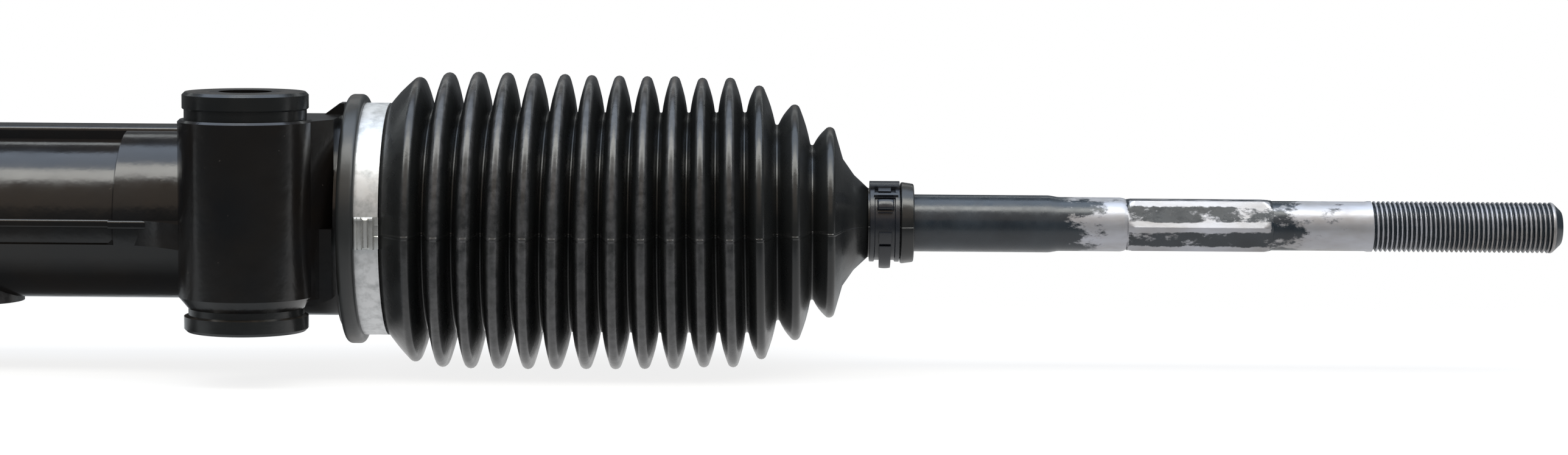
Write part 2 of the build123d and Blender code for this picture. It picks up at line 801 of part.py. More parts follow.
cap_foot = tower_top + 2 * soft_gap
cap_skirt_inner = tower_mouth_radius + 2 * soft_gap
with BuildPart() as dust_cap:
    with BuildSketch(tower_section):
        with BuildLine():
            Polyline(
                (shaft_radius, cap_foot),
                (cap_skirt_inner, cap_foot),
                (cap_skirt_inner, tower_top - 0.7 * tower_mouth_length),
                (cap_skirt_inner + dust_cap_thickness, tower_top - 0.7 * tower_mouth_length),
                (cap_skirt_inner + dust_cap_thickness, cap_foot + dust_cap_thickness - 0.8),
                (cap_skirt_inner + dust_cap_thickness - 0.8, cap_foot + dust_cap_thickness),
                (shaft_radius + dust_cap_thickness + 2.0, cap_foot + dust_cap_thickness),
                (shaft_radius + dust_cap_thickness, cap_foot + dust_cap_thickness + 2.0),
                (shaft_radius + dust_cap_thickness, tower_top + 10.0),
                (shaft_radius, tower_top + 10.0),
                close=True,
            )
        make_face()
    revolve(axis=tower_axis)
keep(dust_cap, "pinion_dust_cap")

with BuildPart() as end_plug:
    with BuildSketch(tower_plane(tower_bottom)):
        Circle(plug_radius)
    extrude(amount=plug_length - 1.0)
    with BuildSketch(tower_plane(tower_bottom)):
        Circle(tower_foot_radius - 0.5)
    extrude(amount=-1.5)
    with BuildSketch(tower_plane(tower_bottom - 1.5)):
        RegularPolygon(plug_hex / 2, 6, major_radius=False)
    extrude(amount=-plug_hex_height)
keep(end_plug, "pinion_end_plug")

# ---- Yoke -------------------------------------------------------------------------------------------------
across_yoke = Plane(origin=mesh_point, x_dir=mesh_dir * -1, z_dir=(1, 0, 0))   # local x away from the rack
liner_inner = rack_radius + running_clearance
saddle_radius = liner_inner + liner_thickness
ring_groove_depth = 0.28
ring_depth = yoke_end - 5.0

with BuildPart() as yoke:
    with BuildSketch(yoke_plane(yoke_start)):
        Circle(yoke_radius)
    extrude(amount=yoke_end - yoke_start)
    with BuildSketch(across_yoke):
        Circle(saddle_radius)
    extrude(amount=yoke_bore, both=True, mode=Mode.SUBTRACT)
    with BuildSketch(yoke_plane(yoke_end)):
        Circle(yoke_pocket_radius)
    extrude(amount=-yoke_pocket_depth, mode=Mode.SUBTRACT)
    with BuildSketch(yoke_section):
        with Locations((yoke_bore - ring_section, ring_depth)):
            Rectangle(2 * ring_section + 2 * ring_groove_depth, 2.2 * ring_section)
    revolve(axis=yoke_axis, mode=Mode.SUBTRACT)
keep(yoke, "yoke")

with BuildPart() as yoke_liner:
    with BuildSketch(across_yoke):
        Circle(saddle_radius)
        Circle(liner_inner, mode=Mode.SUBTRACT)
        with Locations((yoke_start + 0.5 + rack_radius, 0)):
            Rectangle(2 * rack_radius, 4 * rack_radius, mode=Mode.INTERSECT)
    extrude(amount=liner_half_length, both=True)
keep(yoke_liner, "yoke_liner")

with BuildPart() as yoke_ring:
    with BuildSketch(yoke_section):
        with Locations((yoke_bore - ring_section, ring_depth)):
            Circle(ring_section)
    revolve(axis=yoke_axis)
keep(yoke_ring, "yoke_o_ring")

with BuildPart() as adjuster:
    with BuildSketch(yoke_plane(adjuster_inner)):
        Circle(adjuster_radius)
    extrude(amount=adjuster_outer - adjuster_inner)
    chamfer(adjuster.edges().filter_by(GeomType.CIRCLE), 1.0)
    with BuildSketch(yoke_plane(adjuster_outer)):
        RegularPolygon(adjuster_hex / 2, 6, major_radius=False)
    extrude(amount=adjuster_hex_height)
keep(adjuster, "yoke_adjuster")

with BuildPart() as locknut:
    with BuildSketch(yoke_plane(yoke_boss_end)):
        RegularPolygon(locknut_across / 2, 6, major_radius=False)
        Circle(adjuster_radius, mode=Mode.SUBTRACT)
    extrude(amount=locknut_thickness)
keep(locknut, "yoke_locknut")

spring_foot = yoke_end - yoke_pocket_depth
spring_radius = yoke_pocket_radius - spring_wire - 0.5
spring_height = adjuster_inner - spring_foot - 2 * spring_wire
with BuildPart() as spring:
    with BuildLine():
        coil = Helix(
            pitch=spring_height / spring_turns,
            height=spring_height,
            radius=spring_radius,
            center=yoke_plane(spring_foot + spring_wire).origin,
            direction=mesh_dir * -1,
        )
    with BuildSketch(Plane(origin=coil @ 0, z_dir=coil % 0)):
        Circle(spring_wire)
    sweep()
keep(spring, "yoke_spring")

# ---- Rack bush and end stops ------------------------------------------------------------------------------
bush_rings = (rack_bush_start + 6.0, rack_bush_end - 6.0)
with BuildPart() as rack_bush:
    with BuildSketch(station(1, rack_bush_start)):
        Circle(rack_bore)
        Circle(rack_radius + running_clearance, mode=Mode.SUBTRACT)
    extrude(amount=rack_bush_end - rack_bush_start)
    with BuildSketch(lengthwise(1)):
        with Locations([(place, rack_bore) for place in bush_rings]):
            Rectangle(2.4 * ring_section, 4.2 * ring_section)
    revolve(axis=rack_axis, mode=Mode.SUBTRACT)
keep(rack_bush, "rack_bush")

with BuildPart() as bush_o_rings:
    with BuildSketch(lengthwise(1)):
        with Locations([(place, rack_bore - ring_section) for place in bush_rings]):
            Circle(ring_section)
    revolve(axis=rack_axis)
keep(bush_o_rings, "rack_bush_o_rings")

stop_face = housing_half_length + stop_stand_out
for name, sign in sides:
    with BuildPart() as end_stop:
        with BuildSketch(lengthwise(sign)):
            with BuildLine():
                Polyline(
                    (housing_half_length - stop_depth, rack_radius + 0.6),
                    (housing_half_length - stop_depth, stop_radius),
                    (housing_half_length, stop_radius),
                    (housing_half_length, stop_radius - 1.0),
                    (stop_face, stop_radius - 1.5),
                    (stop_face, rack_radius + 0.6),
                    close=True,
                )
            make_face()
        revolve(axis=rack_axis)
    keep(end_stop, f"{name}_end_stop")

# ---- Ball joints ------------------------------------------------------------------------------------------
seat_inner = ball_radius + ball_clearance
seat_outer = seat_inner + seat_thickness
cavity_radius = seat_outer + ball_clearance
socket_start = rack_half_length + washer_thickness
mouth_edge = ball_x + cavity_radius * cos(opening_angle)
socket_end = mouth_edge + 1.2
tab_thickness = 1.5
tab_length = 6.0
tab_width = 12.0
for name, sign in sides:
    with BuildPart() as washer:
        with BuildSketch(station(sign, rack_half_length)):
            Circle(washer_radius)
            Circle(socket_stud_radius, mode=Mode.SUBTRACT)
        extrude(amount=washer_thickness)
        # two tabs bent over the socket's flats
        with BuildSketch(station(sign, rack_half_length)):
            for side in (-1, 1):
                with Locations((side * (socket_flats / 2 + tab_thickness / 2), 0)):
                    Rectangle(tab_thickness, tab_width)
        extrude(amount=washer_thickness + tab_length)
    keep(washer, f"{name}_lock_washer")

    with BuildPart() as socket:
        with BuildSketch(lengthwise(sign)):
            with BuildLine():
                Polyline(
                    (rack_half_length - socket_stud_length, 0),
                    (rack_half_length - socket_stud_length, socket_stud_radius),
                    (socket_start, socket_stud_radius),
                    (socket_start, socket_radius - 1.0),
                    (socket_start + 1.0, socket_radius),
                    (ball_x + 1.0, socket_radius),
                    (socket_end, socket_mouth_radius),
                    (socket_end, 0),
                    close=True,
                )
            make_face()
        revolve(axis=rack_axis)
        with BuildSketch(station(sign, socket_start)):
            for side in (-1, 1):
                with Locations((side * (socket_flats / 2 + socket_radius / 2), 0)):
                    Rectangle(socket_radius, 2 * socket_radius)
        extrude(amount=socket_flats_length, mode=Mode.SUBTRACT)
        with Locations((sign * ball_x, rack_setback, 0)):
            Sphere(cavity_radius, mode=Mode.SUBTRACT)
        # mouth, flared so that the rod can swing
        with BuildSketch(lengthwise(sign)):
            with BuildLine():
                reach = 2 * socket_radius
                Polyline(
                    (ball_x, 0),
                    (ball_x + reach * cos(opening_angle), reach * sin(opening_angle)),
                    (ball_x + reach, 0),
                    close=True,
                )
            make_face()
        revolve(axis=rack_axis, mode=Mode.SUBTRACT)
    keep(socket, f"{name}_ball_socket")

    with BuildPart() as seat:
        with BuildSketch(lengthwise(sign)):
            with Locations((ball_x, 0)):
                Circle(seat_outer)
                Circle(seat_inner, mode=Mode.SUBTRACT)
            with BuildLine():
                reach = 2 * seat_outer
                Polyline(
                    (ball_x, 0),
                    (ball_x + reach * cos(opening_angle), reach * sin(opening_angle)),
                    (ball_x + reach, 0),
                    (ball_x + reach, -reach),
                    (ball_x - reach, -reach),
                    (ball_x - reach, seat_outer / 3),
                    (ball_x - seat_inner / 2, seat_outer / 3),
                    close=True,
                )
            make_face(mode=Mode.SUBTRACT)
        revolve(axis=rack_axis)
    keep(seat, f"{name}_ball_seat")

# ---- Tie rods ---------------------------------------------------------------------------------------------
neck_meet = sqrt(ball_radius**2 - rod_neck_radius**2)
hex_corner = 8.95
hex_chamfer = 1.2
for name, sign in sides:
    with BuildPart() as tie_rod:
        with BuildSketch(lengthwise(sign)):
            with BuildLine():
                ThreePointArc(
                    (ball_x - ball_radius, 0), (ball_x, ball_radius), (ball_x + neck_meet, rod_neck_radius))
                Polyline(
                    (ball_x + neck_meet, rod_neck_radius),
                    (rod_neck_end, rod_neck_radius),
                    (rod_shoulder_start, rod_radius),
                    (rod_step_start, rod_radius),
                    (rod_step_start + 3.0, rod_step_radius),
                    (hex_start - hex_chamfer, rod_step_radius),
                    (hex_start, hex_corner),
                    (hex_end, hex_corner),
                    (hex_end + hex_chamfer, rod_shank_radius),
                    (thread_start, rod_shank_radius),
                    (thread_start, thread_radius),
                    (thread_end, thread_radius),
                    (rod_tip, rod_tip_radius),
                    (rod_tip, 0),
                    (ball_x - ball_radius, 0),
                )
            make_face()
        revolve(axis=rack_axis)
        # six flats, with a corner that faces forward
        with BuildSketch(station(sign, hex_start)):
            Circle(2 * hex_across)
            RegularPolygon(hex_across / 2, 6, major_radius=False, mode=Mode.SUBTRACT)
        extrude(amount=hex_end - hex_start, mode=Mode.SUBTRACT)
    keep(tie_rod, f"{name}_tie_rod")

# ---- Boots and clamps -------------------------------------------------------------------------------------
def flank_angle(crest, root, half_pitch):
    """Angle between a fold's flank and the plane across the rack, for its rounded crest and root."""
    drop = crest - crest_rounding - root - root_rounding
    return atan(half_pitch / drop) - asin((crest_rounding + root_rounding) / sqrt(drop**2 + half_pitch**2))


fold_angle = flank_angle(fold_radius, valley_radius, fold_pitch / 2)
overrun = 1 / sin(fold_angle) - 1       # from a rounded corner's tip to its sharp corner, over its radius
inner_drop = fold_wall / sin(fold_angle)
peaks = [(first_fold + fold_pitch * fold, fold_radius) for fold in range(even_folds)]
peaks[0] = (first_fold, first_fold_radius)
peaks.append((first_fold + fold_pitch * even_folds, last_fold_radii[0]))
for radius in last_fold_radii[1:]:
    peaks.append((peaks[-1][0] + wide_pitch, radius))
valley_count = len(peaks) - 1
lead_angle = atan((first_fold - cuff_end) / (first_fold_radius - spigot_radius - cuff_wall))
first_overrun = 1 / sin((fold_angle + lead_angle) / 2) - 1
folds = [(peaks[0][0], peaks[0][1] + crest_rounding * first_overrun)]
for index in range(valley_count):
    from_end = valley_count - index
    root = valley_radius if from_end > len(last_valley_radii) else last_valley_radii[-from_end]
    middle = (peaks[index][0] + peaks[index + 1][0]) / 2
    folds.append((middle, root - root_rounding * overrun))
    folds.append((peaks[index + 1][0], peaks[index + 1][1] + crest_rounding * overrun))
tail_curve = [(last_fold + reach, radius) for reach, radius in tail_cone]
tail_wall = 1.6
tail_bore = rod_radius + soft_gap
fold_radii = [crest_rounding if index % 2 == 0 else root_rounding for index in range(len(folds))]
inner_fold_radii = [0.0 if index % 2 == 0 else root_rounding + fold_wall for index in range(len(folds))]

for name, sign in sides:
    with BuildPart() as boot:
        with BuildSketch(lengthwise(sign)):
            with BuildLine():
                outer = [
                    (cuff_start, spigot_radius),
                    (cuff_start, lip_radius),
                    (clamp_start, lip_radius),
                    (clamp_start, spigot_radius + cuff_wall),
                    (cuff_end, spigot_radius + cuff_wall),
                ] + folds + tail_curve + [
                    (tail_start, tail_waist_radius),
                    (tail_bead_start, tail_waist_radius),
                    (tail_bead_start, tail_bead_radius),
                    (boot_end, tail_bead_radius - 0.6),
                    (boot_end, tail_bore),
                ]
                inner = [
                    (tail_start - 1.5, tail_bore),
                    (tail_curve[-1][0] - tail_wall, tail_curve[-1][1] - tail_wall),
                    (tail_curve[0][0] - tail_wall, tail_curve[0][1] - tail_wall),
                ]
                inner += [(place, radius - inner_drop) for place, radius in reversed(folds)]
                inner += [
                    (cuff_end + 0.8, spigot_radius),
                    (clamp_centre + spigot_groove_width / 2, spigot_radius),
                    (clamp_centre + spigot_groove_width / 2, spigot_radius - spigot_groove),
                    (clamp_centre - spigot_groove_width / 2, spigot_radius - spigot_groove),
                    (clamp_centre - spigot_groove_width / 2, spigot_radius),
                ]
                outer_radii = [0.0, 1.6, 1.6, 0.0, 0.0] + fold_radii + [6.0, 3.0, 0.8, 0.0, 0.6, 0.6, 0.0]
                inner_radii = [0.0] * 3 + inner_fold_radii + [0.0] * 5
                FilletPolyline(outer + inner, radius=outer_radii + inner_radii, close=True)
            make_face()
        revolve(axis=rack_axis)
    keep(boot, f"{name}_boot")

    # zinc-plated band with its folded buckle at the front
    band_inner = spigot_radius + cuff_wall
    band_outer = band_inner + large_clamp_thickness
    with BuildPart() as band:
        with BuildSketch(station(sign, clamp_start)):
            Circle(band_outer)
            Circle(band_inner, mode=Mode.SUBTRACT)
        extrude(amount=large_clamp_width)
    keep(band, f"{name}_large_clamp")

    buckle_height = 10.0
    buckle_thickness = 0.9
    buckle_ridge = 1.9
    with BuildPart() as buckle:
        with BuildSketch(Plane.XY.offset(-buckle_height / 2)):
            with Locations((sign * clamp_centre, rack_setback - band_outer - buckle_thickness / 2 + 0.4)):
                Rectangle(large_clamp_width - 0.8, buckle_thickness + 0.8)
            with Locations((sign * clamp_centre, rack_setback - band_outer - buckle_thickness + 0.2)):
                Circle(buckle_ridge)
        extrude(amount=buckle_height)
        with BuildSketch(station(sign, clamp_start)):
            Circle(band_outer)
        extrude(amount=large_clamp_width, mode=Mode.SUBTRACT)
    keep(buckle, f"{name}_clamp_buckle")

    # narrow band on the boot's tail, with an ear on top and a hooked tongue down the front
    tail_clamp_start = tail_start + 0.5
    tail_clamp_width = tail_bead_start - tail_clamp_start - 0.3
    tail_clamp_inner = tail_waist_radius + 0.1
    with BuildPart() as small_clamp:
        with BuildSketch(station(sign, tail_clamp_start)):
            Circle(small_clamp_radius)
            Circle(tail_clamp_inner, mode=Mode.SUBTRACT)
        extrude(amount=tail_clamp_width)
        tongue_width = 0.36 * tail_clamp_width
        tongue_radius = small_clamp_radius + 0.9
        with BuildSketch(station(sign, tail_clamp_start + (tail_clamp_width - tongue_width) / 2)):
            Circle(tongue_radius)
            Circle(tail_clamp_inner + 0.2, mode=Mode.SUBTRACT)
            with Locations((-tongue_radius, 0)):
                Rectangle(2 * tongue_radius, 2.4 * tongue_radius, mode=Mode.INTERSECT)
        extrude(amount=tongue_width)
        # the hook that stands off at the tongue's lower end
        hook_turn = Plane(origin=(sign * (tail_clamp_start + tail_clamp_width / 2), rack_setback, 0),
                          x_dir=(sign, 0, 0), z_dir=(0, -0.55, -0.84))
        with BuildSketch(hook_turn.offset(tail_clamp_inner + 0.5)):
            Rectangle(tongue_width, 3.6)
        extrude(amount=small_clamp_radius + 2.4 - tail_clamp_inner - 0.5)
    keep(small_clamp, f"{name}_small_clamp")
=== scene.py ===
"""Looks of a rack-and-pinion steering gear with its inner tie rods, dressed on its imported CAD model.

The sections follow the gear as it is put together, from the housing out to the boots and their clamps.
The pieces' sizes are in millimetres until mm turns them into metres.  Everything else is in metres.
"""
from math import asin, atan2, cos, exp, pi, radians, sin, sqrt, tan

import bmesh
import bpy
from mathutils import Euler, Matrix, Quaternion, Vector


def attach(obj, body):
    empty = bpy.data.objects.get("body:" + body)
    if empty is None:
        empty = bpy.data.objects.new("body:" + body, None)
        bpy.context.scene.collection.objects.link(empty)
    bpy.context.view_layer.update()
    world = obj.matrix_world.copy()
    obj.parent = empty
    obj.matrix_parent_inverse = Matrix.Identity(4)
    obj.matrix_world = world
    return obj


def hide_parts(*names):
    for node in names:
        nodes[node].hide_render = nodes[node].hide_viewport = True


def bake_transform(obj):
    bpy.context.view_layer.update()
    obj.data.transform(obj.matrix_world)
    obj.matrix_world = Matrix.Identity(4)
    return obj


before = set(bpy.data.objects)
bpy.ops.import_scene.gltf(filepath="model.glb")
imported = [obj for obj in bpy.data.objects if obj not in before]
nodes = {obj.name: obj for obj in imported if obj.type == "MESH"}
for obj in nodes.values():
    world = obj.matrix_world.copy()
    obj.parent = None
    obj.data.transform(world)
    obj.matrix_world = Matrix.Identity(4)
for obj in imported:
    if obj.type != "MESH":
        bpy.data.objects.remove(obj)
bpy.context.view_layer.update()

# ---- Bench, camera and lamps ------------------------------------------------------------------------------
# A pale bench top under the boots, a camera a little above the rack's axis, and soft lamps: a large one over
# the gear, a cool one behind it, a low strip far behind for the upper edges, and a faint warm one in front.
mm = 0.001
rack_setback = 37.0 * mm
bench_height = -47.6 * mm
bench_reach = 6.0


def fresh_material(name):
    """A new node material, its tree and its shader."""
    material = bpy.data.materials.new(name)
    material.use_nodes = True
    tree = material.node_tree
    return material, tree, tree.nodes["Principled BSDF"]


def wire(tree, kind, inputs=None, **settings):
    """Add a node, set its properties, and set or link its inputs by name or number."""
    node = tree.nodes.new(kind)
    for key, value in settings.items():
        setattr(node, key, value)
    for key, value in (inputs or {}).items():
        socket = node.inputs[key]
        if isinstance(value, bpy.types.NodeSocket):
            tree.links.new(value, socket)
        else:
            socket.default_value = value
    return node


def arithmetic(tree, operation, first, second=0.0):
    """Result of a maths node."""
    return wire(tree, "ShaderNodeMath", {0: first, 1: second}, operation=operation).outputs[0]


def fade(tree, value, start, end, first=0.0, last=1.0, kind="LINEAR"):
    """Go from one figure to another while a value goes from start to end."""
    ends = {"Value": value, "From Min": start, "From Max": end, "To Min": first, "To Max": last}
    return wire(tree, "ShaderNodeMapRange", ends, interpolation_type=kind).outputs[0]


def ramp(tree, source, stops):
    """Colour ramp over (position, grey or colour) stops."""
    node = wire(tree, "ShaderNodeValToRGB", {"Fac": source})
    band = node.color_ramp
    while len(band.elements) < len(stops):
        band.elements.new(0.5)
    for element, (position, colour) in zip(band.elements, stops):
        element.position = position
        element.color = (colour, colour, colour, 1) if isinstance(colour, (int, float)) else (*colour, 1)
    return node.outputs["Color"]


def blend_colours(tree, share, first, second):
    """Mix two colours, each fixed or from a node."""
    inputs = {0: share}
    for number, colour in ((6, first), (7, second)):
        inputs[number] = colour if isinstance(colour, bpy.types.NodeSocket) else (*colour, 1)
    return wire(tree, "ShaderNodeMix", inputs, data_type="RGBA").outputs[2]


def object_point(tree):
    """Object coordinates, which are the gear's own on every piece."""
    return wire(tree, "ShaderNodeTexCoord").outputs["Object"]


def parts_of(tree, vector):
    """X, Y and Z of a vector."""
    return wire(tree, "ShaderNodeSeparateXYZ", {0: vector}).outputs


def behind_axis(tree, place):
    """How far behind the rack's axis a place lies."""
    return arithmetic(tree, "SUBTRACT", place["Y"], rack_setback)


def bench_white():
    """Lit white near the gear, evenly white to the eye further off, and mostly dim in the gear's gloss."""
    material, tree, shader = fresh_material("bench_white")
    shader.inputs["Base Color"].default_value = (0.85, 0.85, 0.85, 1)
    shader.inputs["Roughness"].default_value = 0.9
    shader.inputs["Specular IOR Level"].default_value = 0.1
    point = object_point(tree)
    place = parts_of(tree, point)
    # even white takes over outside a long oval round the gear
    oval = wire(tree, "ShaderNodeVectorMath", {0: point, 1: (0.12, 1.0, 0.0)}, operation="MULTIPLY")
    apart = wire(tree, "ShaderNodeVectorMath", {0: oval.outputs[0]}, operation="LENGTH").outputs["Value"]
    white = wire(tree, "ShaderNodeEmission", {"Color": (1, 1, 1, 1), "Strength": 1.0})
    seen = wire(tree, "ShaderNodeMixShader", {0: fade(tree, apart, 0.02, 0.25, 0.84, 1.0, "SMOOTHSTEP"),
                                              1: shader.outputs[0], 2: white.outputs[0]})
    # in the gear's gloss the bench is bright in a strip on each side, and wholly so under the boots and rods
    aside = arithmetic(tree, "MULTIPLY", arithmetic(tree, "ABSOLUTE", behind_axis(tree, place)), 2.5)
    strips = ramp(tree, aside, [(across, (grey * 0.92, grey * 0.97, grey)) for across, grey in (
        (0.0, 0.06), (0.05, 0.08), (0.12, 0.6), (0.25, 0.7), (0.36, 0.25), (1.0, 0.12))])
    beyond = fade(tree, arithmetic(tree, "ABSOLUTE", place["X"]), 0.225, 0.245, kind="SMOOTHSTEP")
    under_boots = arithmetic(tree, "MULTIPLY", beyond, fade(tree, aside, 0.12, 0.3, 1.0, 0.0))
    mirrored = blend_colours(tree, under_boots, strips, (0.95, 0.95, 0.95))
    dim = wire(tree, "ShaderNodeEmission", {"Color": mirrored, "Strength": 1.0})
    in_gloss = wire(tree, "ShaderNodeLightPath").outputs["Is Glossy Ray"]
    surface = wire(tree, "ShaderNodeMixShader", {0: in_gloss, 1: seen.outputs[0], 2: dim.outputs[0]})
    tree.links.new(surface.outputs[0], tree.nodes["Material Output"].inputs["Surface"])
    return material


bench_mesh = bpy.data.meshes.new("bench_top")
bench_mesh.from_pydata([(x * bench_reach, y * bench_reach, bench_height) for x, y in
                        ((-1, -1), (1, -1), (1, 1), (-1, 1))], [], [(0, 1, 2, 3)])
bench_mesh.materials.append(bench_white())
bench = bpy.data.objects.new("bench_top", bench_mesh)
bpy.context.collection.objects.link(bench)

camera_tilt = radians(5.4)
camera_roll = radians(0.45)
camera_distance = 1.1346
camera_target = Vector((0.3744, rack_setback, -0.0018))
camera_data = bpy.data.cameras.new("camera")
camera_data.lens = 82.45
camera_data.sensor_width = 36.0
camera_data.sensor_fit = "HORIZONTAL"
camera = bpy.data.objects.new("camera", camera_data)
camera.location = camera_target + camera_distance * Vector((0, -cos(camera_tilt), sin(camera_tilt)))
camera_turn = Euler((pi / 2 - camera_tilt, 0, 0)).to_quaternion() @ Quaternion((0, 0, 1), camera_roll)
camera.rotation_euler = camera_turn.to_euler()
bpy.context.collection.objects.link(camera)
bpy.context.scene.camera = camera
bpy.context.scene.view_settings.view_transform = "Standard"

lamp_aim = Vector((0.3, rack_setback, 0))
# elevation and spread are angles round the rack's axis from the front, brightness is the radiance of the face
for name, elevation, distance, spread, brightness, colour, length in (
    ("lamp_over", 68, 1.1, 20, 8.0, (1.0, 1.0, 0.95), 2.8),
    ("lamp_behind", 96, 1.15, 34, 2.6, (0.7, 0.82, 1.0), 2.8),
    ("lamp_low_behind", 142, 1.6, 7, 1.4, (0.95, 1.0, 1.0), 4.0),
    ("lamp_front", 36, 1.6, 38, 0.55, (1.0, 0.77, 0.57), 2.8),
):
    lamp_data = bpy.data.lights.new(name, "AREA")
    lamp_data.shape = "RECTANGLE"
    lamp_data.size = length
    lamp_data.size_y = 2 * distance * tan(radians(spread) / 2)
    lamp_data.energy = brightness * pi * lamp_data.size * lamp_data.size_y
    lamp_data.color = colour
    lamp = bpy.data.objects.new(name, lamp_data)
    toward = Vector((0, -cos(radians(elevation)), sin(radians(elevation))))
    lamp.location = lamp_aim + distance * toward
    lamp.rotation_euler = toward.to_track_quat("Z", "Y").to_euler()
    bpy.context.collection.objects.link(lamp)

# the room gives a faint even light, and is white to the eye past the bench's far edge
world = bpy.data.worlds.new("room")
world.use_nodes = True
room = world.node_tree.nodes["Background"]
room.inputs["Color"].default_value = (0.9, 0.95, 1.0, 1)
room.inputs["Strength"].default_value = 0.13
far_wall = wire(world.node_tree, "ShaderNodeBackground", {"Color": (1, 1, 1, 1), "Strength": 1.0})
to_the_eye = wire(world.node_tree, "ShaderNodeLightPath").outputs["Is Camera Ray"]
shown = wire(world.node_tree, "ShaderNodeMixShader",
             {0: to_the_eye, 1: room.outputs[0], 2: far_wall.outputs[0]})
world.node_tree.links.new(shown.outputs[0], world.node_tree.nodes["World Output"].inputs["Surface"])
bpy.context.scene.world = world

# ---- Housing ----------------------------------------------------------------------------------------------
# One aluminium casting with the pinion tower, both bolt bosses and the boot spigots, painted gloss black
# after machining.


def noise(tree, scale, detail=4.0, roughness=0.55, stretch=(1, 1, 1)):
    """Cloudy pattern on object coordinates."""
    place = wire(tree, "ShaderNodeMapping", {"Vector": object_point(tree), "Scale": stretch}).outputs[0]
    return wire(tree, "ShaderNodeTexNoise", {"Vector": place, "Scale": scale, "Detail": detail,
                                             "Roughness": roughness}).outputs["Fac"]


def bumps(tree, shader, *layers):
    """Stack height patterns into the shader's normal: (height, strength, distance) each."""
    normal = None
    for height, strength, distance in layers:
        inputs = {"Height": height, "Strength": strength, "Distance": distance}
        if normal is not None:
            inputs["Normal"] = normal
        normal = wire(tree, "ShaderNodeBump", inputs).outputs[0]
    tree.links.new(normal, shader.inputs["Normal"])


def housing_paint():
    """Gloss black over a casting skin: brownish and bluish patches, a fine orange peel and a few specks."""
    material, tree, shader = fresh_material("gloss_black_paint")
    coat = ramp(tree, noise(tree, 38.0), ((0.35, (0.0034, 0.0036, 0.0042)), (0.65, (0.0058, 0.0046, 0.0038))))
    specks = ramp(tree, noise(tree, 420.0, 2.0), ((0.74, 0.0), (0.78, 0.5)))
    tree.links.new(blend_colours(tree, specks, coat, (0.05, 0.045, 0.04)), shader.inputs["Base Color"])
    sheen = ramp(tree, noise(tree, 90.0, 5.0), ((0.3, 0.15), (0.72, 0.25)))
    tree.links.new(sheen, shader.inputs["Roughness"])
    shader.inputs["Specular IOR Level"].default_value = 0.5
    bumps(tree, shader, (noise(tree, 700.0, 2.0), 0.05, 0.0003), (noise(tree, 150.0, 3.0), 0.10, 0.0012))
    return material


def dress(material, *names):
    """Give CAD nodes a finish."""
    for name in names:
        slots = nodes[name].data.materials
        slots.clear()
        slots.append(material)


paint = housing_paint()
dress(paint, "housing")

# ---- Mounting bushes --------------------------------------------------------------------------------------
# A steel sleeve bonded into black rubber that is pressed into each boss, with a flange above and below.
# The gear is painted with its bushes in, so the sleeves are black too.
sides = (("left", -1), ("right", 1))


def radius_at(tree, place):
    """Distance of a place from the rack's axis."""
    back = behind_axis(tree, place)
    return arithmetic(tree, "SQRT", arithmetic(tree, "ADD", arithmetic(tree, "MULTIPLY", back, back),
                                               arithmetic(tree, "MULTIPLY", place["Z"], place["Z"])))


def moulded_rubber(name, shade=0.007, gloss=(0.3, 0.42), seam=None, crest=None):
    """Satin black rubber, paler where a face lies level: dust on faces that look up, and painted light from
    the bench on faces that look down.

    A boot also has its mould's parting line, at an angle round the axis in degrees, and folds made paler from
    a little inside the crest's radius outward, a painted highlight mottled by the grain."""
    material, tree, shader = fresh_material(name)
    tone = ramp(tree, noise(tree, 70.0), ((0.3, (shade * 0.75, shade * 0.85, shade * 0.92)),
                                          (0.75, (shade * 1.15, shade * 1.2, shade * 1.18))))
    facing = parts_of(tree, wire(tree, "ShaderNodeNewGeometry").outputs["Normal"])
    level = arithmetic(tree, "ABSOLUTE", facing["Z"])
    grains = ramp(tree, noise(tree, 260.0, 6.0, 0.7), ((0.38, 0.15), (0.7, 1.0)))
    # paler on level faces: dust on the tops, and painted light from the bench below on the undersides
    dust_and_underside_light = arithmetic(tree, "MULTIPLY", ramp(tree, level, ((0.82, 0.0), (1.0, 0.7))), grains)
    place = parts_of(tree, object_point(tree))
    if crest is not None:
        # the crests are painted paler, a painted highlight along each fold's top, mottled by the grain
        crest_highlight = fade(tree, radius_at(tree, place), crest - 2.4 * mm, crest, 0.0, 0.6)
        tone = blend_colours(tree, arithmetic(tree, "MULTIPLY", crest_highlight, grains), tone, (0.085, 0.085, 0.09))
    tree.links.new(blend_colours(tree, dust_and_underside_light, tone, (0.07, 0.058, 0.048)), shader.inputs["Base Color"])
    sheen = ramp(tree, noise(tree, 120.0), ((0.3, gloss[0]), (0.75, gloss[1])))
    tree.links.new(sheen, shader.inputs["Roughness"])
    shader.inputs["Specular IOR Level"].default_value = 0.5
    layers = [(noise(tree, 900.0, 3.0), 0.08, 0.0003), (noise(tree, 110.0, 2.0), 0.12, 0.0012)]
    if seam is not None:
        back = arithmetic(tree, "ABSOLUTE", behind_axis(tree, place))
        angle = arithmetic(tree, "ARCTAN2", place["Z"], back)
        apart = arithmetic(tree, "ABSOLUTE", arithmetic(tree, "SUBTRACT", angle, radians(seam)))
        layers.append((fade(tree, apart, 0.005, 0.016, 1.0, 0.0), 0.5, 0.0006))
    bumps(tree, shader, *layers)
    return material


dress(moulded_rubber("bush_rubber", 0.007, (0.14, 0.32)), *(f"{side}_mount_rubber" for side, sign in sides))
dress(paint, *(f"{side}_mount_sleeve" for side, sign in sides))

# ---- Rack, pinion and bearings ----------------------------------------------------------------------------
# Ground and greased steel inside the housing, in bronze and nylon bushes and a ball bearing.  Only the
# pinion's serrated end stands out of the tower, through a rubber seal and a dust cap.


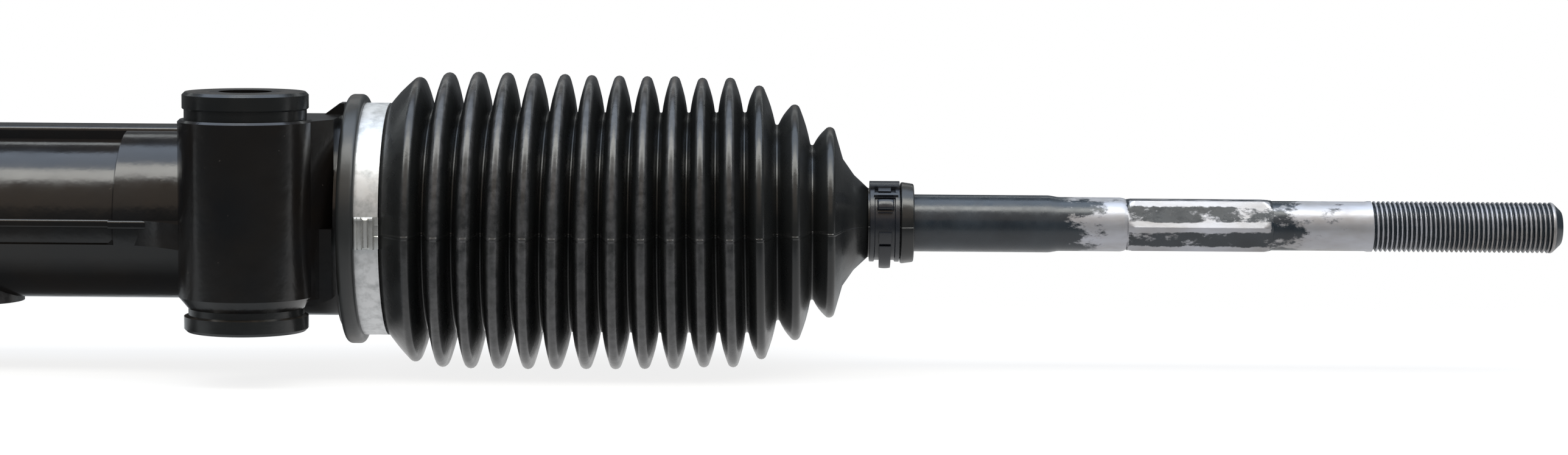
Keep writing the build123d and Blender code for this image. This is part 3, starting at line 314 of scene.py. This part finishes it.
def bare_steel(name, colour, rough, stain, stretch=(1, 1, 1), metal=1.0, spots=60.0):
    """Machined, ground or plated metal, with a few darker stains."""
    material, tree, shader = fresh_material(name)
    stains = ramp(tree, noise(tree, spots, 6.0, 0.65), ((0.44, 0.0), (0.7, 0.7)))
    tree.links.new(blend_colours(tree, stains, colour, stain), shader.inputs["Base Color"])
    shader.inputs["Metallic"].default_value = metal
    fine = noise(tree, 420.0, 5.0, 0.6, stretch)
    tree.links.new(ramp(tree, fine, ((0.3, rough[0]), (0.7, rough[1]))), shader.inputs["Roughness"])
    bumps(tree, shader, (fine, 0.12, 0.0002))
    return material


def moulded_plastic(name, colour, rough=0.42):
    """Plastic or baked lacquer with a faint mottle."""
    material, tree, shader = fresh_material(name)
    mottle = ramp(tree, noise(tree, 120.0), ((0.3, tuple(0.85 * c for c in colour)), (0.7, colour)))
    tree.links.new(mottle, shader.inputs["Base Color"])
    tree.links.new(ramp(tree, noise(tree, 500.0), ((0.3, rough - 0.06), (0.7, rough + 0.08))),
                   shader.inputs["Roughness"])
    bumps(tree, shader, (noise(tree, 900.0), 0.08, 0.0002))
    return material


phosphated_steel = bare_steel("phosphated_steel", (0.10, 0.10, 0.105), (0.4, 0.55), (0.06, 0.055, 0.05))
dress(bare_steel("ground_steel", (0.6, 0.6, 0.61), (0.12, 0.26), (0.42, 0.4, 0.37), (0.1, 6, 6)),
      "rack_bar", "pinion_shaft")
dress(bare_steel("bearing_steel", (0.66, 0.66, 0.67), (0.08, 0.16), (0.6, 0.6, 0.6)),
      "pinion_bearing_outer_ring", "pinion_bearing_inner_ring", "pinion_bearing_balls")
dress(phosphated_steel, "pinion_circlip", "yoke_spring", "pinion_end_plug")
dress(moulded_plastic("cage_nylon", (0.32, 0.2, 0.09)), "pinion_bearing_cage")
dress(moulded_plastic("bush_nylon", (0.7, 0.68, 0.6)), "rack_bush", "left_ball_seat", "right_ball_seat")
dress(bare_steel("sintered_bronze", (0.62, 0.44, 0.26), (0.3, 0.5), (0.4, 0.27, 0.14)),
      "pinion_lower_bush", "yoke_liner")
dress(moulded_rubber("seal_rubber", 0.02),
      "pinion_seal", "pinion_dust_cap", "yoke_o_ring", "rack_bush_o_rings")

# ---- Yoke and end stops -----------------------------------------------------------------------------------
# A cast aluminium yoke pressed on the rack by a spring, held by a zinc-plated adjuster and its locknut.
# The end stops are plated steel rings pressed into the housing's mouths.
dress(bare_steel("cast_aluminium", (0.62, 0.62, 0.63), (0.35, 0.5), (0.5, 0.49, 0.47)), "yoke")
dress(bare_steel("zinc_plate", (0.66, 0.66, 0.68), (0.25, 0.4), (0.5, 0.5, 0.5)),
      "yoke_adjuster", "yoke_locknut", *(f"{side}_end_stop" for side, sign in sides))

# ---- Ball joints ------------------------------------------------------------------------------------------
# Phosphated steel sockets screwed into the rack's ends over tabbed lock washers, each round a nylon seat.
# The boots hide them.
for side, sign in sides:
    dress(phosphated_steel, f"{side}_ball_socket", f"{side}_lock_washer")

# ---- Tie rods ---------------------------------------------------------------------------------------------
# Forged steel rods with a ball at one end, and a hexagon for the spanner and a rolled M16 thread at the
# other.  A dark coat covers each rod up to its step, and is worn off in patches beyond.
ball_x = 345.0
ball_radius = 14.0
rod_neck_radius = 7.5
rod_radius = 9.0
stepped_radius = 8.5
bare_radius = 7.8
hex_start = 482.5
hex_end = 528.0
corner_radius = 9.15
across_flats = 15.8
thread_start = 558.5
thread_end = 616.5
thread_radius = 8.0
thread_pitch = 1.5
thread_depth = 0.92
thread_run_in = 1.0
thread_run_out = 0.6
rod_tip = 619.5
ball_steps = 40
rod_step = 2.5
hexagon_step = 0.8
thread_step = thread_pitch / 12


def turning_graph():
    """Geometry nodes that turn a profile round the rack's axis, and cut a thread and flats into it.

    The profile is a chain of vertices at (distance along the rack, radius, 0)."""
    tree = bpy.data.node_groups.new("turned_form", "GeometryNodeTree")
    tree.is_modifier = True
    lengths = ("Setback", "Thread Start", "Thread End", "Thread Pitch", "Thread Depth",
               "Flats Start", "Flats End", "Across Flats")
    for label, kind in (("Profile", "Geometry"), ("Facets", "Int"), *((label, "Float") for label in lengths),
                        ("Finish", "Material")):
        tree.interface.new_socket(name=label, in_out="INPUT", socket_type=f"NodeSocket{kind}")
    tree.interface.new_socket(name="Turned", in_out="OUTPUT", socket_type="NodeSocketGeometry")
    given = tree.nodes.new("NodeGroupInput").outputs
    result = tree.nodes.new("NodeGroupOutput")

    # a flat grid has a column for each point of the profile, and a row for each facet round the axis
    size = wire(tree, "GeometryNodeAttributeDomainSize", {"Geometry": given["Profile"]})
    count = size.outputs["Point Count"]
    rows = arithmetic(tree, "ADD", given["Facets"], 1.0)
    grid = wire(tree, "GeometryNodeMeshGrid", {"Size X": 1.0, "Size Y": 1.0,
                                               "Vertices X": count, "Vertices Y": rows})
    here = wire(tree, "GeometryNodeInputPosition").outputs[0]
    on_grid = parts_of(tree, here)
    last = arithmetic(tree, "SUBTRACT", count, 1.0)
    station = arithmetic(tree, "ROUND", arithmetic(
        tree, "MULTIPLY", arithmetic(tree, "ADD", on_grid["X"], 0.5), last))
    angle = arithmetic(tree, "MULTIPLY", arithmetic(tree, "ADD", on_grid["Y"], 0.5), 2 * pi)
    sample = wire(tree, "GeometryNodeSampleIndex", {"Geometry": given["Profile"], "Index": station},
                  data_type="FLOAT_VECTOR")
    value, sampled = (next(socket for socket in sockets if socket.type == "VECTOR")
                      for sockets in (sample.inputs, sample.outputs))
    tree.links.new(here, value)
    profile = parts_of(tree, sampled)

    def within(start, end):
        """1 between two distances along the rack, and 0 outside them."""
        after = arithmetic(tree, "GREATER_THAN", profile["X"], given[start])
        before = arithmetic(tree, "LESS_THAN", profile["X"], given[end])
        return arithmetic(tree, "MULTIPLY", after, before)

    # the thread is a groove that climbs one pitch each turn, with a narrow crest and a wider root
    turns = arithmetic(tree, "DIVIDE", profile["X"], arithmetic(tree, "MAXIMUM", given["Thread Pitch"], 1e-6))
    phase = arithmetic(tree, "FRACT", arithmetic(tree, "SUBTRACT", turns, arithmetic(
        tree, "DIVIDE", angle, 2 * pi)))
    slope = arithmetic(tree, "ABSOLUTE", arithmetic(tree, "SUBTRACT", arithmetic(
        tree, "MULTIPLY", phase, 2.0), 1.0))
    groove = arithmetic(tree, "MINIMUM", arithmetic(tree, "MULTIPLY", arithmetic(
        tree, "MAXIMUM", arithmetic(tree, "SUBTRACT", slope, 0.12), 0.0), 1.3), 1.0)
    cut = arithmetic(tree, "MULTIPLY", arithmetic(tree, "MULTIPLY", groove, given["Thread Depth"]),
                     within("Thread Start", "Thread End"))
    radius = arithmetic(tree, "SUBTRACT", profile["Y"], cut)
    # the flats cut the radius back to a hexagon with a corner to the front
    wedge = arithmetic(tree, "SUBTRACT", arithmetic(tree, "MODULO", arithmetic(
        tree, "ADD", angle, pi), pi / 3), pi / 6)
    flat = arithmetic(tree, "DIVIDE", arithmetic(tree, "MULTIPLY", given["Across Flats"], 0.5),
                      arithmetic(tree, "COSINE", wedge))
    on_flats = within("Flats Start", "Flats End")
    off_flats = arithmetic(tree, "SUBTRACT", 1.0, on_flats)
    radius = arithmetic(tree, "ADD", arithmetic(
        tree, "MULTIPLY", arithmetic(tree, "MINIMUM", radius, flat), on_flats), arithmetic(
        tree, "MULTIPLY", radius, off_flats))

    back = arithmetic(tree, "ADD", given["Setback"], arithmetic(
        tree, "MULTIPLY", radius, arithmetic(tree, "COSINE", angle)))
    up = arithmetic(tree, "MULTIPLY", radius, arithmetic(tree, "SINE", angle))
    place = wire(tree, "ShaderNodeCombineXYZ", {"X": profile["X"], "Y": back, "Z": up}).outputs[0]
    moved = wire(tree, "GeometryNodeSetPosition", {"Geometry": grid.outputs["Mesh"], "Position": place})
    closed = wire(tree, "GeometryNodeMergeByDistance", {"Geometry": moved.outputs[0], "Distance": 1e-6})
    whole = wire(tree, "GeometryNodeRealizeInstances", {"Geometry": closed.outputs[0]}).outputs[0]
    finished = wire(tree, "GeometryNodeSetMaterial", {"Geometry": whole, "Material": given["Finish"]})
    tree.links.new(finished.outputs[0], result.inputs[0])
    return tree


turning = turning_graph()


def settle(piece, sharp):
    """Replace a piece's modifiers by their result, with outward faces, smooth up to a sharp angle."""
    evaluated = piece.evaluated_get(bpy.context.evaluated_depsgraph_get())
    mesh = bpy.data.meshes.new_from_object(evaluated)
    piece.modifiers.clear()
    piece.data = mesh
    shape = bmesh.new()
    shape.from_mesh(mesh)
    bmesh.ops.recalc_face_normals(shape, faces=shape.faces)
    shape.to_mesh(mesh)
    shape.free()
    mesh.shade_smooth()
    mesh.set_sharp_from_angle(angle=sharp)
    return piece


def turned(name, sign, profile, finish, facets=128, sharp=radians(35), **sizes):
    """A piece turned round the rack's axis from (distance, radius) points, on the side the sign gives."""
    chain = bpy.data.meshes.new(name)
    chain.from_pydata([(sign * x * mm, r * mm, 0) for x, r in profile],
                      [(i, i + 1) for i in range(len(profile) - 1)], [])
    piece = bpy.data.objects.new(name, chain)
    bpy.context.collection.objects.link(piece)
    modifier = piece.modifiers.new("turned", "NODES")
    modifier.node_group = turning
    values = {"Facets": facets, "Setback": rack_setback, "Finish": finish}
    values.update({label.replace("_", " ").title(): value * mm for label, value in sizes.items()})
    for item in turning.interface.items_tree:
        if item.item_type == "SOCKET" and item.in_out == "INPUT" and item.name in values:
            modifier[item.identifier] = values[item.name]
    return settle(piece, sharp)


def in_short_steps(points, step):
    """Fill the gaps between profile points so that no stretch is much longer than a step."""
    filled = [points[0]]
    for (x0, r0), (x1, r1) in zip(points, points[1:]):
        pieces = max(1, round(sqrt((x1 - x0) ** 2 + (r1 - r0) ** 2) / step))
        filled += [(x0 + (x1 - x0) * i / pieces, r0 + (r1 - r0) * i / pieces) for i in range(1, pieces + 1)]
    return filled


def rod_steel():
    """Dark coat up to the step, worn off in patches from there to the hexagon's end, bare steel beyond.

    Cover runs from 0, bare, to 1, coated, along the rod, and noise breaks its edge into patches."""
    worn_from, worn_to = 0.44, 0.62
    material, tree, shader = fresh_material("tie_rod_steel")
    place = parts_of(tree, object_point(tree))
    along = fade(tree, arithmetic(tree, "ABSOLUTE", place["X"]), worn_from, worn_to)
    cover = ramp(tree, along, ((0.0, 1.0), (0.09, 0.88), (0.155, 0.56), (0.232, 0.32), (0.238, 0.66),
                               (0.47, 0.58), (0.49, 0.62), (0.52, 0.58), (0.56, 0.42), (0.655, 0.34),
                               (0.665, 0.2), (0.985, 0.2), (0.99, 0.95)))
    # the hexagon's corners are rubbed bright, and the thread's grooves are darkened toward the coat's colour,
    # painted shade in the recesses
    radius = radius_at(tree, place)
    rubbed = fade(tree, radius, 0.0082, 0.0089, 0.0, 0.6)
    on_hexagon = ramp(tree, along, ((0.236, 0.0), (0.238, 1.0), (0.486, 1.0), (0.489, 0.0)))
    cover = arithmetic(tree, "SUBTRACT", cover, arithmetic(tree, "MULTIPLY", rubbed, on_hexagon))
    groove_shade = fade(tree, radius, 0.0074, 0.0079, 0.75, 0.0)
    on_thread = ramp(tree, along, ((0.66, 0.0), (0.664, 1.0)))
    cover = arithmetic(tree, "ADD", cover, arithmetic(tree, "MULTIPLY", groove_shade, on_thread))
    patches = arithmetic(tree, "MULTIPLY", noise(tree, 150.0, 8.0, 0.72, (0.55, 1, 1)), 1.5)
    coat = fade(tree, arithmetic(tree, "ADD", cover, patches), 1.22, 1.34)
    bare = ramp(tree, noise(tree, 46.0, 5.0, 0.6, (0.4, 1, 1)), (
        (0.36, (0.17, 0.155, 0.145)), (0.5, (0.27, 0.265, 0.27)), (0.66, (0.37, 0.38, 0.42))))
    dark = ramp(tree, noise(tree, 90.0, 5.0), ((0.3, (0.009, 0.013, 0.018)), (0.7, (0.019, 0.026, 0.034))))
    tree.links.new(blend_colours(tree, coat, bare, dark), shader.inputs["Base Color"])
    shine = arithmetic(tree, "MULTIPLY", arithmetic(tree, "SUBTRACT", 1.0, coat), 0.5)
    tree.links.new(shine, shader.inputs["Metallic"])
    rough = ramp(tree, noise(tree, 300.0, 5.0), ((0.3, 0.3), (0.7, 0.45)))
    sheen = arithmetic(tree, "SUBTRACT", rough, arithmetic(tree, "MULTIPLY", coat, 0.1))
    tree.links.new(sheen, shader.inputs["Roughness"])
    bumps(tree, shader, (coat, 0.3, 0.00008), (noise(tree, 1100.0, 3.0), 0.08, 0.0002),
          (noise(tree, 160.0, 3.0), 0.1, 0.0006))
    return material


coated_rod = rod_steel()
ball_sweep = pi - asin(rod_neck_radius / ball_radius)
ball = [(ball_x - ball_radius * cos(a), ball_radius * sin(a))
        for a in [ball_sweep * i / ball_steps for i in range(ball_steps + 1)]]
shank = in_short_steps([ball[-1], (363.0, rod_neck_radius), (364.5, 7.6), (371.0, 8.9), (372.5, rod_radius),
                        (457.6, rod_radius), (458.6, 8.9), (460.6, 8.55), (461.4, stepped_radius),
                        (480.6, stepped_radius), (481.6, 8.3), (hex_start - 0.1, 7.9)], rod_step)
hexagon = in_short_steps([(hex_start, 8.2), (hex_start + 1.4, corner_radius), (hex_end - 2.4, corner_radius),
                          (hex_end, 7.95)], hexagon_step)
bare_end = in_short_steps([(hex_end + 0.1, bare_radius), (557.6, bare_radius),
                           (thread_start, thread_radius)], rod_step)
threaded = in_short_steps([(thread_start, thread_radius), (thread_end, thread_radius)], thread_step)
tip = [(616.9, 7.8), (619.2, 5.6), (rod_tip, 5.2), (rod_tip, 0.0)]
for side, sign in sides:
    flats = sorted((sign * (hex_start - 0.05), sign * (hex_end + 0.05)))
    cut = sorted((sign * (thread_start + thread_run_in), sign * (thread_end - thread_run_out)))
    rod = turned(f"{side}_tie_rod_steel", sign, ball + shank[1:] + hexagon + bare_end + threaded[1:] + tip,
                 coated_rod, 144, radians(32), thread_start=cut[0], thread_end=cut[1],
                 thread_pitch=thread_pitch, thread_depth=thread_depth,
                 flats_start=flats[0], flats_end=flats[1], across_flats=across_flats)
    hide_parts(f"{side}_tie_rod")
    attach(rod, f"{side}_rod")

# ---- Boots ------------------------------------------------------------------------------------------------
# Blow-moulded rubber bellows: a thick lip and cuff on the housing, fifteen folds, and a beaded tail on the
# rod.  Each boot is cut where the joints it spans take over from one another.
cuff_start = 237.3
clamp_start = 242.7
cuff_end = 250.1
cuff_bore = 34.25
cuff_radius = 35.8
lip_radius = 39.3
lip_rounding = 1.6
first_fold = 258.9
fold_pitch = 9.0
wide_pitch = 10.9
even_folds = 12
crest_radii = (44.9, 46.5, 46.8, 46.75, 46.7, 46.6, 46.4, 46.35, 46.2, 46.2, 45.7, 45.7, 43.2, 37.2, 30.1)
root_radii = (34.7,) * 12 + (30.8, 24.4)
crest_rounding = 1.7
root_rounding = 0.6
flank_bulge = 0.3
fold_wall = 2.6
cone_points = ((392.9, 20.0), (396.4, 15.0))
tail_start = 400.8
tail_radius = 10.9
tail_bore = 9.3
tail_lap = 0.02
bead_start = 411.0
bead_radius = 12.9
bead_end_radius = 12.3
bead_rounding = 0.6
boot_end = 415.2
# how far each fold leans over, top against bottom, and where and how much the boot sags
fold_leans = (0.8, 1.6, 1.8, 2.3, 1.7, 2.3, 1.1, 0.5, 0.1, -0.4, -1.2, -1.7, -1.5, -0.8, -0.6)
fold_height = 92.0
sag = 0.6
sag_middle = 323.0
sag_reach = 45.0
held_by_lip = 6.0
held_by_tail = 20.0


def rounded_corner(before, corner, after, radius, steps=6):
    """Points of a fillet at a corner between two neighbours."""
    b, c, a = Vector(before), Vector(corner), Vector(after)
    to_before, to_after = (b - c).normalized(), (a - c).normalized()
    half = to_before.angle(to_after) / 2
    if radius <= 0 or half > radians(89):
        return [tuple(c)]
    reach = min(radius / tan(half), 0.48 * (b - c).length, 0.48 * (a - c).length)
    radius = reach * tan(half)
    centre = c + (to_before + to_after).normalized() * (radius / sin(half))
    start, end = c + to_before * reach - centre, c + to_after * reach - centre
    points = []
    for i in range(steps + 1):
        share = i / steps
        direction = start.slerp(end, share) if start.angle(end) < pi - 1e-4 else start.lerp(end, share)
        points.append(tuple(centre + direction.normalized() * radius))
    return points


def filleted(corners):
    """Line through corners of (distance, radius, rounding), rounded at each."""
    line = [corners[0][:2]]
    for before, corner, after in zip(corners, corners[1:], corners[2:]):
        line += rounded_corner(before[:2], corner[:2], after[:2], corner[2])
    return line + [corners[-1][:2]]


def laced(discs, steps=6, along=4):
    """Line that runs over and under a row of discs, with flanks that swell a little between them.

    A disc is (distance, radius, rounding, bend), with bend 1 for a crest and -1 for a root."""
    headings = []
    for (x0, r0, a, bend), (x1, r1, b, next_bend) in zip(discs, discs[1:]):
        turn = asin((bend * a - next_bend * b) / sqrt((x1 - x0) ** 2 + (r1 - r0) ** 2))
        headings.append(atan2(r1 - r0, x1 - x0) - turn)
    line = []
    for i, (x, r, rounding, bend) in enumerate(discs):
        come, leave = headings[max(0, i - 1)], headings[min(i, len(headings) - 1)]
        arc = steps if rounding else 0
        touch = [(x - bend * rounding * sin(come + (leave - come) * k / max(arc, 1)),
                  r + bend * rounding * cos(come + (leave - come) * k / max(arc, 1))) for k in range(arc + 1)]
        if line and rounding:
            (x0, r0), (x1, r1) = line[-1], touch[0]
            for k in range(1, along):
                swell = flank_bulge * sin(pi * k / along)
                line.append((x0 + (x1 - x0) * k / along - swell * sin(come),
                             r0 + (r1 - r0) * k / along + swell * cos(come)))
        line += touch
    return line


crests = [(first_fold + fold_pitch * min(i, even_folds) + wide_pitch * max(0, i - even_folds), radius)
          for i, radius in enumerate(crest_radii)]
roots = [((a[0] + b[0]) / 2, radius) for a, b, radius in zip(crests, crests[1:], root_radii)]
discs = [(cuff_end, cuff_radius, 0, -1)]
for crest, root in zip(crests, roots + [None]):
    discs.append((crest[0], crest[1] - crest_rounding, crest_rounding, 1))
    if root:
        discs.append((root[0], root[1] + root_rounding, root_rounding, -1))
discs += [(x, r, 0, -1) for x, r in (*cone_points, (tail_start, tail_radius))]
outer_line = laced(discs)


def stretch_of(line, start, end):
    """Part of a line between two distances along the rack, with its ends interpolated."""
    part = [line[0]] if line[0][0] >= start else []
    for (x0, r0), (x1, r1) in zip(line, line[1:]):
        if x0 < start <= x1:
            part.append((start, r0 + (r1 - r0) * (start - x0) / (x1 - x0)))
        if start < x1 < end:
            part.append((x1, r1))
        if x0 < end <= x1:
            part.append((end, r0 + (r1 - r0) * (end - x0) / (x1 - x0)))
    return part


def slump(piece):
    """Lean the folds over and let them sag, as a soft boot does, least at its two held ends."""
    stations = [cuff_end] + [x for x, r in crests] + [tail_start]
    leans = (0.0,) + fold_leans + (0.0,)
    for vertex in piece.data.vertices:
        x, y, z = vertex.co / mm
        along = abs(x)
        k = max(i for i, station in enumerate(stations[:-1]) if along >= station or i == 0)
        share = min(1.0, max(0.0, (along - stations[k]) / (stations[k + 1] - stations[k])))
        lean = (leans[k] + (leans[k + 1] - leans[k]) * share) / fold_height
        free = min(1.0, max(0.0, (along - cuff_end) / held_by_lip),
                   max(0.0, (tail_start - along) / held_by_tail))
        vertex.co.x += (1 if x > 0 else -1) * lean * z * free * mm
        vertex.co.z -= sag * exp(-((along - sag_middle) / sag_reach) ** 2) * free * mm


def boot_ring(name, sign, start, end):
    """One closed length of the boot.  Its wall is measured toward the axis, so it is thinner on a flank."""
    outer = stretch_of(outer_line, start, end)
    inner = [(x, max(r - fold_wall, tail_bore)) for x, r in reversed(outer)]
    piece = turned(name, sign, outer + inner + outer[:1], boot_rubber, 128, radians(50))
    slump(piece)
    return piece


boot_rubber = moulded_rubber("boot_rubber", 0.009, (0.23, 0.36), seam=-2.5, crest=46.2 * mm)
# the cuff and lip take a lighter copy of the boot's rubber, painted light standing in for the lip's highlight
lip_rubber_painted_light = moulded_rubber("lip_rubber_painted_light", 0.02)
cuff_line = filleted([
    (cuff_end, cuff_bore, 0), (cuff_end, cuff_radius, 0), (clamp_start, cuff_radius, 0.2),
    (clamp_start, lip_radius, lip_rounding), (cuff_start, lip_radius, lip_rounding),
    (cuff_start, cuff_bore, 0), (cuff_end, cuff_bore, 0)])
tail_line = filleted([
    (tail_start - tail_lap, tail_bore, 0), (tail_start, tail_radius, 0), (bead_start, tail_radius, 0.2),
    (bead_start, bead_radius, bead_rounding), (boot_end, bead_end_radius, bead_rounding),
    (boot_end, tail_bore, 0), (tail_start - tail_lap, tail_bore, 0)])
slide_end, swing_end = crests[-3][0], crests[-2][0]
for side, sign in sides:
    lip = turned(f"{side}_boot_cuff", sign, cuff_line, lip_rubber_painted_light, 144)
    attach(lip, "housing")
    folds = boot_ring(f"{side}_boot_folds", sign, cuff_end, slide_end)
    end_folds = boot_ring(f"{side}_boot_end_folds", sign, slide_end, swing_end)
    cone = boot_ring(f"{side}_boot_cone", sign, swing_end, tail_start)
    tail = turned(f"{side}_boot_tail", sign, tail_line, boot_rubber, 96)
    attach(tail, f"{side}_rod")
    for piece, first, second, start, end in (
        (folds, "housing", "rack", cuff_end, slide_end),
        (end_folds, "rack", f"{side}_seat", slide_end, swing_end),
        (cone, f"{side}_seat", f"{side}_rod", swing_end, tail_start),
    ):
        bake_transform(piece)
    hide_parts(f"{side}_boot")

# ---- Boot clamps ------------------------------------------------------------------------------------------
# A zinc-plated band with a folded buckle holds each cuff.  A narrow black-lacquered band holds each tail,
# closed by a bridge with two slots, a raised pad and a hooked tongue.
band_face = 37.1
buckle_floor = 36.7
buckle_start = 243.0
buckle_end = 250.3
plates_end = 248.9
buckle_arc = (-9.4, 6.0)
tail_band_start = 401.3
tail_band_end = 410.7
tail_band_bore = 10.95
tail_band_face = 11.8
rail_radius = 12.3
closure_floor = 11.3
closure_face = 11.75
closure_arc = (-33, 112)
hook_floor = 11.9
hook_tip, hook_foot = -78, -31
zinc_band = bare_steel("zinc_band", (0.56, 0.57, 0.58), (0.32, 0.5), (0.25, 0.26, 0.265), metal=0.5,
                       spots=260.0)
pressed_zinc = bare_steel("pressed_zinc", (0.6, 0.61, 0.6), (0.18, 0.3), (0.42, 0.42, 0.4), metal=0.75,
                          spots=240.0)
black_band = moulded_plastic("black_band", (0.011, 0.013, 0.018), 0.26)
dress(zinc_band, *(f"{side}_large_clamp" for side, sign in sides))


def wrapped(name, sign, span, arc, surface, floor, finish, steps=(60, 90)):
    """A closed skin bent round the rack's axis, over a span along the rack and an arc in degrees up from the
    front.  Its outer radius comes from surface(distance, angle), its inner one is the floor."""
    across, around = steps
    points = []
    for outer in (True, False):
        for i in range(across + 1):
            x = span[0] + (span[1] - span[0]) * i / across
            for j in range(around + 1):
                angle = arc[0] + (arc[1] - arc[0]) * j / around
                r = surface(x, angle) if outer else floor
                points.append((sign * x * mm, rack_setback - r * cos(radians(angle)) * mm,
                               r * sin(radians(angle)) * mm))
    row, layer = around + 1, (across + 1) * (around + 1)
    faces = []
    for i in range(across):
        for j in range(around):
            a = i * row + j
            quad = (a, a + 1, a + row + 1, a + row)
            faces += [quad, tuple(layer + v for v in reversed(quad))]
    rim = list(range(around)) + [i * row + around for i in range(across)]
    rim += [across * row + j for j in range(around, 0, -1)] + [i * row for i in range(across, 0, -1)]
    faces += [(b, a, layer + a, layer + b) for a, b in zip(rim, rim[1:] + rim[:1])]
    mesh = bpy.data.meshes.new(name)
    mesh.from_pydata(points, [], faces)
    mesh.materials.append(finish)
    piece = bpy.data.objects.new(name, mesh)
    bpy.context.collection.objects.link(piece)
    return settle(piece, radians(38))


def inside(value, low, high, edge=0.2):
    """1 between two limits and 0 outside them, with a soft edge."""
    return min(1.0, max(0.0, (value - low) / edge + 0.5)) * min(1.0, max(0.0, (high - value) / edge + 0.5))


def dome(value, middle, half):
    """Half-round rise, 1 at its middle and 0 at half its width to either side."""
    return sqrt(max(0.0, 1.0 - ((value - middle) / half) ** 2))


def buckle_surface(x, angle):
    """Two folded plates, a half-round ridge up the middle and a curl along the top edge."""
    plates = inside(x, buckle_start, plates_end)
    r = band_face + 0.9 * plates - 0.45 * inside(x, 243.9, 245.2, 0.3)
    r += 1.3 * dome(x, 246.5, 1.1) * inside(angle, -8.4, 4.6, 0.9)
    r += dome(angle, 5.2, 0.8) * plates
    r -= 0.5 * inside(x, 249.0, 251.0, 0.1) * inside(angle, -3.2, 2.2, 0.4)
    return r


def closure_surface(x, angle):
    """Bridge, web between two slots, lip, pad, arc and tongue, from the small clamp's top down its front."""
    rails = closure_face + 0.55 * max(inside(x, tail_band_start, 402.9), inside(x, 409.2, tail_band_end))
    bridge = 13.15 * inside(angle, 64, 200, 2)
    middle_web = 12.75 * inside(x, 403.7, 408.0) * inside(angle, 55, 66, 1.5)
    lip_foot = 12.35 * inside(angle, 44, 56, 1.5) * inside(x, 402.6, 410.0)
    lip_edge = 13.1 * inside(angle, 46, 49, 1.2) * inside(x, 402.4, 410.2)
    pad = closure_face + 1.4 * dome(x, 406.2, 2.6) ** 0.35 * dome(angle, 33, 8.4) ** 0.35
    arc = 12.45 * inside(angle, 19.5, 22, 0.8) * inside(x, 403.8, 408.4)
    tongue = 12.5 * inside(x, 404.0, 408.2) * inside(angle, -28, -9, 1.2)
    return max(rails, bridge, middle_web, lip_foot, lip_edge, pad, arc, tongue)


def hook_surface(x, angle):
    """The tongue's end, which rises off the band toward its tip."""
    rise = ((hook_foot - angle) / (hook_foot - hook_tip)) ** 0.8
    return 12.6 + 1.9 * rise * dome(x, 406.1, 2.4) ** 0.3


band_line = filleted([
    (tail_band_start, tail_band_bore, 0), (tail_band_end, tail_band_bore, 0),
    (tail_band_end, rail_radius, 0.2), (409.3, rail_radius, 0.2), (409.1, tail_band_face, 0.1),
    (402.9, tail_band_face, 0.1), (402.7, rail_radius, 0.2), (tail_band_start, rail_radius, 0.2),
    (tail_band_start, tail_band_bore, 0)])
for side, sign in sides:
    buckle = wrapped(f"{side}_band_buckle", sign, (buckle_start, buckle_end), buckle_arc, buckle_surface,
                     buckle_floor, pressed_zinc)
    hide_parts(f"{side}_clamp_buckle")
    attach(buckle, "housing")
    ring = turned(f"{side}_tail_band", sign, band_line, black_band, 120)
    closure = wrapped(f"{side}_tail_band_closure", sign, (tail_band_start, tail_band_end), closure_arc,
                      closure_surface, closure_floor, black_band, (72, 220))
    hook = wrapped(f"{side}_tail_band_hook", sign, (404.3, 407.9), (hook_tip, hook_foot), hook_surface,
                   hook_floor, black_band, (24, 60))
    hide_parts(f"{side}_small_clamp")
    for piece in (ring, closure, hook):
        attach(piece, f"{side}_rod")
